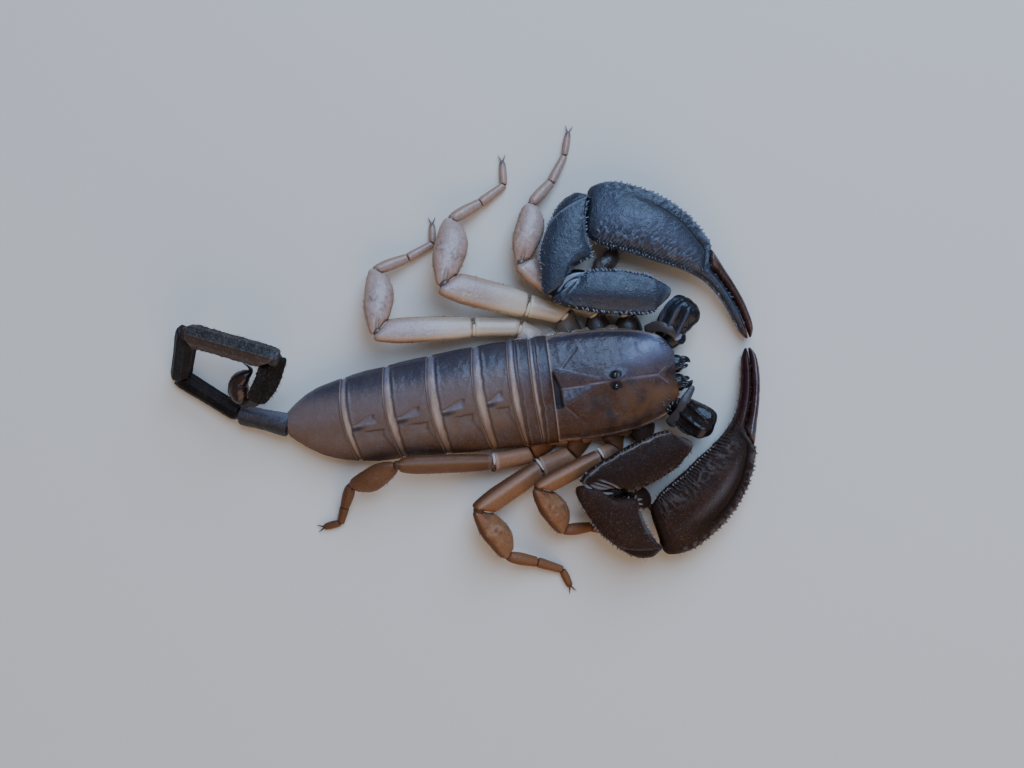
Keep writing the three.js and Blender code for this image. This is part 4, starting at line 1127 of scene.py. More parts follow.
    # Painted light: the bluish marks are painted sky highlights on the facets, on the left of each plate and
    # on the left ends of the bands; the pale lines along ridges and steps, the ridge at each plate's front
    # (dimmed on the right), the bands' bright middle stripe, the lighter fill of the low patch and the pale
    # lip on the left are painted highlights; the bands fade to the right as painted shade; the dark lines at
    # both edges of each band, the grooves and steps and the left margin are painted shade; the right mask and
    # warm turn the right half to the painted shaded colour.
    skin.mark(
        bloom=(bloom * plate + 0.1 * cloud * bell(dx, 2.1, 1.6) * step(0.2, 0.5, t)) * (1 - ends)
        + 0.26 * ends * top * step(0.8, 3.6, dx),
        pale=strongest(soft_amount, 0.62 * ridge * top * (1 - 0.5 * right), 0.35 * ridge_highlight * plate,
                       0.55 * flank * step(-4, 12, -y), 0.25 * lip * step(0, 4, dx),
                       0.2 * rearward * step(-5.8, -2, dx) * step(6.2, 3.5, dx) * top * (1 - ends),
                       0.13 * low * (1 - ends)),
        dark=strongest(0.8 * shade * plate, 0.35 * bell(left_over, 0.1, 0.12) * (not last) * top,
                       0.3 * bell(left_over, band + 0.1, 0.2) * (not last) * top,
                       0.35 * step(4.9, 6.8, dx) * (1 - ends),
                       0.5 * step(0.42, 0.12, rise) * step(-0.2, 0.05, rise) * (1 - ends)),
        right=right,
        warm=clamp(skin.noise(2.2, 71 + index, 3)) * step(1, -2, dx) * 0.6 + 0.6 * flank
        + 0.75 * ends * right * step(1.5, -2.5, dx),
        gloss=0.35 * shine * plate + ends * (0.1 + 0.45 * step(0.5, 3, dx)),
    )


class OBJECT_OT_scorpion_trunk(bpy.types.Operator):
    """Build the seven rings of the trunk, each a back plate, its band of soft skin and its belly plate"""

    bl_idname = "object.scorpion_trunk"
    bl_label = "Trunk rings"

    def execute(self, context):
        for index in range(7):
            start, end = TERGITE_ENDS[index:index + 2]
            y = start + (end - start) * places(end - start, spacing_mm() * 0.8, 0.3)
            bow = np.minimum(1, np.minimum(y, TERGITE_ENDS[-1] - y) / 8)[:, None]
            skin = trunk_skin(y, lambda u: bow * (TERGITE_SLANT * u - TERGITE_BOW * u * u), 330)
            tergite_relief(skin, index, end - start)
            stand_in(f"trunk_ring_{index + 1}", [skin], "Back plates", "shell")
        return {"FINISHED"}


# ---- head and underside ----


class OBJECT_OT_scorpion_mouth(bpy.types.Operator):
    """Build the two chelicerae, each with its fixed and its movable claw"""

    bl_idname = "object.scorpion_mouth"
    bl_label = "Chelicerae"

    def execute(self, context):
        for name, side in SIDES:
            root = np.array([1.5 * side, -17, 3.3])
            along = heading(-2 * side)
            body = [[0, 0.9, 0.9, 0.8], [0.3, 1.3, 1.25, 1.15], [0.7, 1.3, 1.3, 1.2], [1, 0.95, 0.95, 0.85]]
            block = length(root, root + along * 3.3, body, side=side, sides=90, square=2.6, rounding=0.9,
                           gap=0)
            block.lift(0.05 * block.grains(0.36, 80) + 0.07 * block.noise(0.8, 81, 2))
            block.mark(gloss=0.25)
            parts = [block]
            for offset, width, inward, reach in ((0.5, 0.62, 0.5, 1.9), (-0.45, 0.48, -0.1, 1.5)):
                start = root + along * 2.4 + np.array([offset * side, 0, -0.1])
                points = [start, start + along * reach * 0.6 + [0, 0, -0.15],
                          start + along * reach + [-inward * side, 0, -0.75]]
                claw = ribbon(points, [width, width * 0.8, 0.12], 1, 40)
                claw.mark(warm=0.5 * step(0.5, 1, claw.share), gloss=0.4)
                parts.append(claw)
            stand_in(f"chelicera_{name}", parts, f"Arm base {name}", "pincer")
        return {"FINISHED"}


class OBJECT_OT_scorpion_underside(bpy.types.Operator):
    """Build the chest plate with the leg bases round it, the two combs and the soft folds of the flanks"""

    bl_idname = "object.scorpion_underside"
    bl_label = "Underside and folds"

    def execute(self, context):
        stations = [[-16.5, 3.6], [-14, 5.4], [-8, 6.3], [-1, 6.2], [3, 4.6], [4.8, 2.2]]
        front, span = stations[0][0], stations[-1][0] - stations[0][0]
        y = front + span * places(span, 0.25, 0.8)
        rounded = dome((y - front) / span, span, 1.2)
        half = smooth(stations, y) * rounded
        centres = np.stack([0 * y, y, 1.4 + 0 * y], -1)
        forward = np.broadcast_to([0, 1, 0], centres.shape)
        plate = tube(centres, forward, 0 * y, half, half, 0.9 + 0 * y, 0.9 * rounded, 160, 3, y - front)
        x, y = plate.plan()
        under = step(-0.2, -0.6, plate.rise)
        seams = bell(x, 0, 0.14)
        for k in range(4):
            for side in (1, -1):
                seam = from_line(x, y, (side * 0.9, -11.5 + 3 * k), (side * 7, -13.6 + 5.4 * k))
                seams = np.maximum(seams, bell(seam, 0, 0.16))
        chest = np.hypot(x / 1.3, (y + 1.6) / 2.2)
        seams = np.maximum(seams * step(0.95, 1.1, chest), bell(chest, 1, 0.1))
        plate.lift(under * (-0.22 * seams + 0.04 * plate.noise(0.8, 90, 3)))
        plate.mark(dark=0.5 * seams * under, warm=0.4)
        stand_in("coxal_plate", [plate], "Belly plates", "belly")
        for name, side in SIDES:
            root, along = np.array([1 * side, 5.9, 0.62]), heading(112 * side)
            across = np.cross(along, [0, 0, 1]) * side
            spine = length(root, root + along * 6.2,
                           [[0, 0.9, 0.9, 0.25], [0.5, 0.75, 0.7, 0.28], [1, 0.35, 0.3, 0.2]], side=side,
                           sides=32, rounding=0.4, gap=0)
            spine.mark(pale=0.3)
            share = np.linspace(0.08, 0.95, 16)[:, None]
            roots = root + along * 6.2 * share - across * 0.55
            teeth = thorns(roots, -across + along * 0.15, 1.05, 0.17, sides=8, blunt=0.6)
            stand_in(f"pectine_{name}", [spine, painted(teeth, pale=0.6)], "Belly plates", "belly")
            self.folds(name, side)
        return {"FINISHED"}

    def folds(self, name, side):
        """Soft skin between the trunk's edge and the leg bases, in long pleats."""
        parts = []
        for k, (start, end, out, height, girth) in enumerate((
            ((7.2, -15.6), (7.9, 7), 0, 3.05, 0.75), ((7.6, -12.5), (8.3, 3.6), 0.35, 2.45, 0.8),
            ((7, -14.5), (7.7, 5.6), 0.2, 1.75, 0.9),
        )):
            t = np.linspace(0, 1, 150)
            y = start[1] + (end[1] - start[1]) * t
            x = smooth(TRUNK_HALF_WIDTH, y) - 0.55 + out + 0.12 * np.sin(y * 1.9 + 2 * k)
            z = height + 0.12 * np.sin(y * 1.3 + k)
            centres = np.stack([x * side, y, z], -1)
            along = unit(np.gradient(centres, axis=0))
            size = girth * dome(t, end[1] - start[1], 2.5) * (1 + 0.12 * np.sin(y * 2.1 + 4 * k))
            fold = tube(centres, along, 0 * t, size, size, size * 0.7, size * 0.7, 28, 2, y - y[0])
            fold.lift(0.05 * fold.noise(0.5, 95 + k, 3, [1, 0.4, 1]))
            # The left folds are painted pale cream as the lit side, the right ones warm orange as painted
            # shade.
            fold.mark(pale=(0.5 if side > 0 else 0), warm=(0.15 if side > 0 else 0.8),
                      dark=0.5 * step(0.4, 0.9, fold.noise(1.3, 98 + k, 2)))
            parts.append(fold)
        piece(f"flank_folds_{name}", parts, "Soft folds", "shell")


# ---- pincers ----


def along_edge(skin, angle, ways):
    """Points, outward directions and forward directions at one angle round a skin, at these ways along it."""
    column = int(round(angle / (2 * np.pi) * skin.points.shape[1])) % skin.points.shape[1]
    rows = np.clip(np.searchsorted(skin.way[:, column], ways), 1, len(skin.points) - 2)
    forward = unit(skin.points[rows + 1, column] - skin.points[rows - 1, column])
    return skin.points[rows, column], skin.normals()[rows, column], forward


def edge_teeth(skin, angle, start, end, pitch, height, radius, seed, lean=0.5, raised=0):
    """A row of teeth along one edge of a skin, pointing outward and leaning forward."""
    ways = np.arange(start, end, pitch)
    number = np.arange(len(ways))
    ways = ways + 0.3 * pitch * (dice(number, 0, 0, seed) - 0.5)
    roots, out, forward = along_edge(skin, angle, ways)
    size = 0.7 + 0.6 * dice(number, number, 0, seed + 1)
    size = size * np.clip(np.minimum(number + 1.5, len(ways) - number + 0.5) / 3, 0.4, 1)
    directions = out + forward * lean + np.array([0, 0, raised])
    teeth = thorns(roots, directions, height * size, radius * (0.6 + 0.4 * size), sides=7, levels=5)
    return painted(teeth, pale=0.55, gloss=0.25)


def chela_middle(arm, way):
    """Points on the arc that is a chela's middle line."""
    side = arm["side"]
    a, b = np.radians(arm["palm"] * side), np.radians(arm["turn"] * side)
    root = arm["palm_root"]
    x = root[0] * side + (np.cos(a - b * way) - np.cos(a)) / b
    y = root[1] + (np.sin(a - b * way) - np.sin(a)) / b
    z = root[2] - CHELA["drop"] * (np.maximum(way, 0) / CHELA["length"]) ** 1.6
    return np.stack([x, y, z], -1)


def chela_skin(arm, ways, edges, root_cut, sides, square=2.4):
    side = arm["side"]
    centres = chela_middle(arm, ways)
    along = unit(chela_middle(arm, ways + 0.1) - chela_middle(arm, ways - 0.1))
    outward = unit(np.cross([0, 0, 1], along)) * side
    inner, outer = edges(ways, smooth(CHELA["width"], ways))
    centres = centres + outward * ((inner + outer) / 2)[:, None]
    half, high = (outer - inner) / 2, smooth(CHELA["height"], ways) / 2
    share = (ways - ways[0]) / (ways[-1] - ways[0])
    away = np.minimum(ways - ways[0], (ways[-1] - ways) * 0.7)
    rounded = 0.05 + 0.95 * np.sqrt(1 - (1 - clamp(away / 0.75)) ** 2)
    cut = heading(root_cut * side)
    slide = clamp(1 - (ways - ways[0]) / 5)

    def lean(offset):
        return -(offset @ cut) / (along @ cut)[:, None] * slide[:, None]

    roll = np.full(len(ways), np.radians(-CHELA["roll"] * side))
    wide = 1 - (1 - rounded) * 0.25
    skin = tube(centres, along, roll, half * wide, half * wide, high * rounded, high * rounded, sides, square,
                ways, lean)
    skin.share = np.broadcast_to(share[:, None], skin.rise.shape)
    skin.outer = -skin.sideways * side
    return skin


def wrinkles(across, along, seed):
    """Short broken ridges, from 0 to 1. Both coordinates are in units of one ridge."""
    value = noise(np.stack([across, along, 0 * across], -1), 1, seed, 2)
    return step(0.42, 0, abs(value))


def palm(name, arm):
    """The palm with its fixed finger: wrinkled along the inner edge, grooved inside a toothed outer rim."""
    def edges(way, width):
        stepped = step(CHELA["finger_root"] - 1.8, CHELA["finger_root"] + 0.8, way)
        return -width / 2, width / 2 + (-CHELA["finger_gap"] / 2 - width / 2) * stepped

    left = name == "left"
    start, end = CHELA["width"][0][0], CHELA["length"]
    ways = start + (end - start) * places(end - start, spacing_mm() * 0.8, 0.8)
    skin = chela_skin(arm, ways, edges, CHELA["root_cut"], 250)
    w, q = skin.way, skin.outer
    top = step(0, 0.35, skin.rise)
    inner, outer = (1 + q) * skin.width, (1 - q) * skin.width
    hand = step(19.5, 15.5, w) * step(0, 0.8, w)
    warp = skin.noise(2.2, 101, 2)
    slant = 0.55 if left else 0.18
    fine = wrinkles((w - slant * inner) / 0.62 + 0.5 * warp, (inner + slant * w) / 1.25, 102)
    comb = clamp(np.sin(2 * np.pi * ((w - slant * inner) / 0.6 + 0.25 * warp)))
    near = step(1.5, 0.2, inner)
    crease = fine * (1 - near) + comb * near
    fading = step(4.4, 0.8, inner) * top * hand
    height = 0.17 * crease * fading * step(-0.1, 0.25, inner)
    height += 0.03 * wrinkles((w - slant * inner) / 0.4, inner / 0.7, 103) * top * hand * (1 - fading)
    height += 0.04 * skin.grains(0.36, 104) * step(0.8, 2, inner) * top * hand
    height += 0.05 * skin.grains(0.33, 109) * (1 - top * hand)
    height += 0.07 * skin.noise(1.3, 105, 3) * hand
    groove_at = 1.9 - 0.03 * w
    groove = bell(outer, groove_at + 0.18 * warp, 0.62) * step(2, 7.5, w) * step(21, 16.5, w) * top
    height -= 0.48 * groove * (0.4 + 0.6 * step(4, 10, w))
    rim = step(1.3, 0.7, outer) * step(0.4, 1.5, w) * step(20.5, 18, w)
    knobs = wrinkles(w / 0.62 + 0.3 * warp, outer / 0.9, 106)
    height += 0.13 * knobs * rim
    height += 0.16 * bell(w, 9, 6) * step(0.2, 0.9, skin.rise) * bell(q, 0.05, 0.42)
    finger = step(18.2, 21.5, w)
    height += 0.08 * finger * bell(q, 0.1, 0.35) * top
    skin.lift(height)
    tip = step(27, 31, w) if left else step(18.5, 24, w)
    streak = bell(q, 0.18, 0.16) * bell(w, 10, 5.5) * top * (not left)
    # Painted light: on the left palm the bluish marks are painted sky highlights on the ridges, knobs and
    # middle; the pale tops of the ridges and knobs are painted highlights; the dark between the ridges and
    # knobs and in the groove inside the rim is painted shade.
    skin.mark(
        pale=strongest((0.07 if left else 0.16) * crease * fading, 0.26 * knobs * rim,
                       0.22 * finger * bell(q, 0.2, 0.12) * top, 0.2 * streak),
        dark=strongest(0.9 * groove, 0.5 * (1 - crease) * fading, 0.5 * step(0.25, 0, w),
                       0.55 * bell(outer, groove_at + 0.9, 1.2) * step(1.5, 5, w) * top * (1 - finger),
                       0.35 * (1 - knobs) * rim),
        warm=0.95 * tip,
        bloom=(0.16 * crease * fading + 0.08 * knobs * rim + 0.12 * bell(q, -0.1, 0.5) * top * hand) * left,
        gloss=0.25 * finger + 0.12 * fading * crease,
    )
    outer_angle = np.pi if left else 0
    tilt = -0.22 if left else 0.22
    teeth = edge_teeth(skin, outer_angle + tilt, 1.2, 18.4, 0.6, 0.27, 0.24, 107, 0.3)
    inner_teeth = edge_teeth(skin, np.pi - outer_angle - tilt * 1.4, 1.2, 15.5, 0.6, 0.22, 0.18, 108, 0.4)
    stand_in(f"pincer_{name}_palm", [skin, teeth, inner_teeth], f"Pincer {name}", "pincer")


def movable_finger(name, arm):
    def edges(way, width):
        return CHELA["finger_gap"] / 2 + 0 * width, width / 2

    first = CHELA["finger_root"] - 0.5
    span = CHELA["length"] - first
    ways = first + span * places(span, spacing_mm() * 0.8, 0.6)
    cut = arm["palm"] - arm["turn"] * CHELA["finger_root"] + CHELA["finger_cut"]
    skin = chela_skin(arm, ways, edges, cut, 110, 2.2)
    w, top = skin.way, step(0, 0.4, skin.rise)
    ridge = bell(skin.outer, -0.1, 0.3) * top
    skin.lift(0.06 * ridge + 0.03 * skin.grains(0.3, 111) + 0.02 * skin.noise(0.7, 112, 2))
    # The left movable finger is darkened almost all along as painted shade; the right one is darker near its
    # root.
    root = step(22.5, 19, w) if name == "right" else step(30.5, 24, w)
    skin.mark(pale=0.25 * bell(skin.outer, -0.05, 0.14) * top + 0.3 * step(20.2, 19.2, w), dark=0.5 * root)
    stand_in(f"pincer_{name}_finger", [skin], "Finger", "finger")


def palp_femur(name, side, start, end, cuts):
    """A flat-topped length between two rows of slanting teeth, with a double crest at the elbow."""
    skin = length(start, end, PALP_FEMUR, 0, cuts, side, 190, 2.7, 0.25, 0.5)
    skin.narrow(0.16, 0.45)
    outer = skin.sideways * side
    edge = np.minimum((1 - outer) * skin.width, (1 + outer) * skin.width)
    top = step(0, 0.45, skin.rise)
    s = skin.share
    rim = 0.42 + 0.12 * skin.noise(1.2, 120)
    rows = bell(edge, rim, 0.24) * top * step(0.03, 0.1, s) * step(0.95, 0.86, s)
    knobs = skin.grains(0.5, 121, 0.9)
    height = 0.035 * skin.grains(0.36, 122) + 0.04 * skin.noise(1, 123, 3)
    height += rows * (0.1 + 0.12 * knobs)
    height -= 0.16 * step(0.4, 1.6, edge) * top * step(0.02, 0.25, s)
    height += 0.2 * bell(skin.sideways, 0, 0.45) * top * bell(s, 0.5, 0.35)
    height += 0.07 * (skin.points[..., 0] - skin.points.mean(1, keepdims=True)[..., 0]) * top * side
    crest = (bell(s, 0.895, 0.012) + bell(s, 0.955, 0.012)) * step(-0.35, 0.1, outer)
    crest = crest * step(-0.2, 0.3, skin.rise)
    between = bell(s, 0.925, 0.012) * step(-0.35, 0.1, outer)
    height += 0.22 * crest - 0.12 * between + 0.1 * bell(s, 0.03, 0.02) * top
    height += 0.05 * skin.grains(0.5, 124) * (1 - top)
    skin.lift(height)
    gleam = crest
    if name == "right":
        line = bell(edge, rim + 0.12 * skin.noise(0.5, 119, 2), 0.11) * top * step(0.2, -0.3, outer)
        gleam = np.maximum(crest, 0.75 * line * step(0.05, 0.2, s))
    # Painted light: the pale crests at the elbow and the pale line along the right femur's edge are painted
    # highlights; the underside and the gap between the crests are darkened as painted shade.
    skin.mark(
        pale=strongest(0.18 * rows * knobs, 0.85 * gleam, 0.25 * bell(s, 0.03, 0.02) * top),
        dark=strongest(0.75 * step(0.1, -0.4, skin.rise), 0.5 * step(0.25, 0, edge),
                       0.3 * top * step(0.5, 1.2, edge), 0.75 * between, 0.6 * step(0.965, 0.99, s),
                       0.5 * step(0.86, 0.89, s) * (1 - crest)),
        warm=0.1 * bell(skin.sideways, 0, 0.45) * top * bell(s, 0.5, 0.3),
        gloss=0.6 * gleam,
    )
    parts = [skin]
    # The teeth and the crest blades are painted paler on the left arm, the lit side, than on the right.
    for angle in (0.46, np.pi - 0.46):
        forward = 0.75 if (angle < 1) == (side > 0) else -0.75
        tall = 0.5 if side > 0 else 0.3
        teeth = edge_teeth(skin, angle, 1.2, skin.way.max() * 0.86, 0.62, tall, 0.17, 125 + int(angle * 3),
                           forward, 0.25)
        parts.append(painted(teeth, pale=0.8 if side > 0 else 0.3, gloss=0.5))
    for shift, lower in ((0.1, 0.15), (0.95, 0.3)):
        path = [[13.7 - shift, -2.3 - shift, 7], [15.4 - shift * 0.8, -3.4 - shift * 0.5, 7.75 - lower],
                [16.3 - shift, -5, 7.95 - lower], [16.5 - shift, -6.9, 7.85 - lower]]
        blade = ribbon([[x * side, y, z] for x, y, z in path], [0.18, 0.34, 0.34, 0.12], 0.9, 24)
        parts.append(painted(blade.part(), pale=0.75 if side > 0 else 0.45, gloss=0.5))
    stand_in(f"pincer_{name}_femur", parts, f"Pincer {name}", "pincer")


def palp_patella(name, side, start, end, cuts):
    turned = [[share, front, rear, half] for share, rear, front, half in PALP_PATELLA]
    skin = length(start, end, turned, 0, cuts, side, 170, 2.6, 0.25, 0.5)
    front = skin.sideways * side
    rear_edge, front_edge = (1 + front) * skin.width, (1 - front) * skin.width
    top = step(0, 0.4, skin.rise)
    s = skin.share
    height = 0.045 * skin.grains(0.36, 131) + 0.06 * skin.noise(1.5, 132, 3)
    height += 0.05 * skin.grains(0.55, 133, 0.5) * bell(s, 0.5, 0.4) * top
    line_at = 0.15 + 2.3 * step(0.55, 1, s)
    line = bell(rear_edge, line_at, 0.13) * top * step(0.5, 0.62, s)
    height += 0.14 * line - 0.14 * step(line_at - 0.05, line_at - 0.3, rear_edge) * top * step(0.6, 0.75, s)
    rows = bell(front_edge, 0.3, 0.25) * top * step(0.45, 0.55, s)
    height += 0.12 * rows * skin.grains(0.5, 134, 0.9)
    lip = bell(s, 0.975, 0.02) * step(-0.2, 0.3, skin.rise)
    height += 0.1 * lip
    skin.lift(height)
    # Painted light: the pale line along the rear edge is a painted highlight, brighter on the lit left arm
    # than on the right; the underside is darkened as painted shade.
    skin.mark(
        pale=strongest((0.55 if side > 0 else 0.15) * line, 0.3 * rows, 0.45 * lip),
        dark=strongest(0.55 * step(line_at - 0.05, line_at - 0.4, rear_edge) * top * step(0.55, 0.7, s),
                       0.4 * step(-0.1, -0.5, skin.rise)),
    )
    parts = [skin]
    rear_angle = np.pi if side > 0 else 0
    tilt = -0.2 if side > 0 else 0.2
    parts.append(edge_teeth(skin, rear_angle + tilt, 1.2, skin.way.max() - 2, 0.62, 0.32, 0.2, 135, 0.3, 0.1))
    front = np.pi - rear_angle - tilt * 1.8
    parts.append(edge_teeth(skin, front, 5, 8.6, 0.6, 0.65, 0.24, 136, 0.2, 0.1))
    parts.append(edge_teeth(skin, front, 9, skin.way.max() - 1, 0.6, 0.35, 0.17, 137, 0.4, 0.1))
    stand_in(f"pincer_{name}_patella", parts, f"Pincer {name}", "pincer")


def ribbon(points, halves, height, sides=28, roll=0):
    """A tube along a smooth line through a few points, with half widths at each point."""
    points = np.array(points, float)
    knots = np.concatenate([[0], np.cumsum(np.linalg.norm(np.diff(points, axis=0), axis=1))])
    way = places(knots[-1], 0.12, 0.5) * knots[-1]
    centres = np.stack([smooth(np.stack([knots, points[:, k]], -1), way) for k in range(3)], -1)
    along = unit(np.gradient(centres, way, axis=0))
    ends = dome(way / knots[-1], knots[-1], 0.5)
    wide = smooth(np.stack([knots, np.array(halves, float)], -1), way) * ends
    high = wide * height
    skin = tube(centres, along, np.full(len(way), roll), wide, wide, high, high, sides, 2.2, way)
    skin.share = np.broadcast_to((way / knots[-1])[:, None], skin.rise.shape)
    return skin


def palp_trochanter(name, side, start, end):
    """The black glossy knuckle between the head and the femur, and the lobe and cheek that it grows from."""
    table = []
    for share, rear, front, half in PALP_TROCHANTER:
        table.append([share, rear + (0.35 if share > 0.2 else 0), front, half])
    skin = length(start, end, table, 0, (None, None), side, 150, 2.3, 0, 0.6)
    s, across = skin.share, skin.sideways * side
    dent = skin.noise(1.9, 141, 1)
    height = 0.3 * abs(dent) + 0.05 * skin.grains(0.5, 142) + 0.05 * skin.noise(0.8, 143, 2)
    ridges = 0
    for offset, slope in ((0.55, 0.9), (-0.15, 0.75), (-0.75, 0.5)):
        ridges = np.maximum(ridges, bell(across, offset - slope * (s - 0.4), 0.1) * step(0.1, 0.3, s)
                            * step(1, 0.8, s))
    ridges = ridges * step(0.1, 0.5, skin.rise)
    height += 0.26 * ridges
    skin.lift(height)
    skin.narrow(0.5, 0.35)
    # Painted light: the bluish marks on the left knuckle's ridges are painted sky highlights, and the
    # underside is darkened as painted shade.
    skin.mark(bloom=0.25 * ridges * (side > 0), gloss=0.35, dark=0.6 * step(0.1, -0.4, skin.rise))
    if side > 0:
        lobe_points = [[7, -14.9, 3.7], [7.3, -16.9, 4.8], [6.5, -18.6, 5.2], [5, -19.9, 4.8]]
    else:
        lobe_points = [[-7.6, -16.6, 4.2], [-6, -18.5, 4.8], [-4.3, -19.4, 5], [-2.2, -21, 4.7]]
    lobe = ribbon(lobe_points, [0.7, 0.8, 0.8, 0.72] if side > 0 else [0.85, 0.92, 0.75, 0.42],
                  0.5 if side > 0 else 0.34, 44)
    lobe.lift(0.02 * lobe.grains(0.4, 145) + 0.03 * lobe.noise(0.9, 146, 2))
    inner = bell(lobe.sideways * side, -0.75, 0.22) * step(-0.1, 0.4, lobe.rise)
    tip = step(0.86, 0.95, lobe.share)
    # The bluish mark on the tip of the left lobe is a painted sky highlight.
    lobe.mark(warm=0.8 * step(-0.4, 0.2, lobe.rise), pale=0.4 * inner, bloom=0.9 * tip * (side > 0),
              gloss=0.6 * tip)
    cheek = ribbon([[4.4 * side, -17.6, 3.1], [5.2 * side, -19.4, 3.3], [5 * side, -21, 3.2]], [1, 1.25, 0.8],
                   0.9, 60)
    cheek.lift(0.1 * cheek.noise(1.1, 147, 2) + 0.04 * cheek.grains(0.5, 148))
    cheek.mark(gloss=0.4)
    stand_in(f"pincer_{name}_trochanter", [skin, lobe, cheek], f"Arm base {name}", "pincer")


class OBJECT_OT_scorpion_pincers(bpy.types.Operator):
    """Build both pincer arms, from the trochanter to the fingertips"""

    bl_idname = "object.scorpion_pincers"
    bl_label = "Pincer arms"

    def execute(self, context):
        for name, arm in PALPS.items():
            side = arm["side"]
            coxa, trochanter = joints_of(arm["coxa"], [arm["trochanter"]], side)
            shoulder, elbow, wrist = joints_of(arm["femur_root"], [arm["femur"], arm["patella"]], side)
            shoulder_cut = heading((arm["trochanter"][1] + 90) * side)
            elbow_cut = mitre(shoulder, elbow, wrist)
            palp_trochanter(name, side, coxa, trochanter)
            palp_femur(name, side, shoulder, elbow, (shoulder_cut, elbow_cut))
            palp_patella(name, side, elbow, wrist, (elbow_cut, None))
            palm(name, arm)
            movable_finger(name, arm)
            palm_start = chela_middle(arm, np.array([0.9]))[0]
            toward = unit(palm_start - wrist)
            # The balls fill the elbow, wrist and shoulder in the near black of the arm bases, as painted
            # shade; the large one beside and below the elbow is a dark lump that stands for the shade between
            # femur and patella.
            parts = [
                ball(elbow + [0, 0, -0.4], [1.1, 1.1, 0.9], 28),
                ball(elbow + [1.4 * side, -3, -1.6], [1.7, 2.6, 1.3], 28),
                ball((wrist + palm_start) / 2 + [0, 0, -0.5], [0.9, 0.9, 1.6], 28, toward),
                ball((trochanter + shoulder) / 2 + [0, 0, -0.9], [0.9, 0.9, 1.2], 28,
                     unit(shoulder - trochanter)),
            ]
            piece(f"pincer_{name}_folds", parts, f"Arm base {name}", "pincer")
        return {"FINISHED"}


# ---- legs ----


def scaled(shape, half):
    return [[share, wide * half] for share, wide in shape]


def collar(at, along, radius, thickness, inner):
    """A glossy pale strip over a joint, from its top down the side that inner points to."""
    up, across = frames(along, 0)
    angle = np.linspace(0.4, 0.95, 24) * np.pi
    if across @ inner > 0:
        angle = np.pi - angle
    centres = at + np.cos(angle)[:, None] * across * radius + np.sin(angle)[:, None] * up * radius * 0.88
    share = np.linspace(0, 1, 24)
    size = thickness * dome(share, 1, 0.5)
    strip = tube(centres, unit(np.gradient(centres, axis=0)), 0 * share, size, size, size, size, 12, 2, share)
    return strip.mark(pale=1, gloss=1)


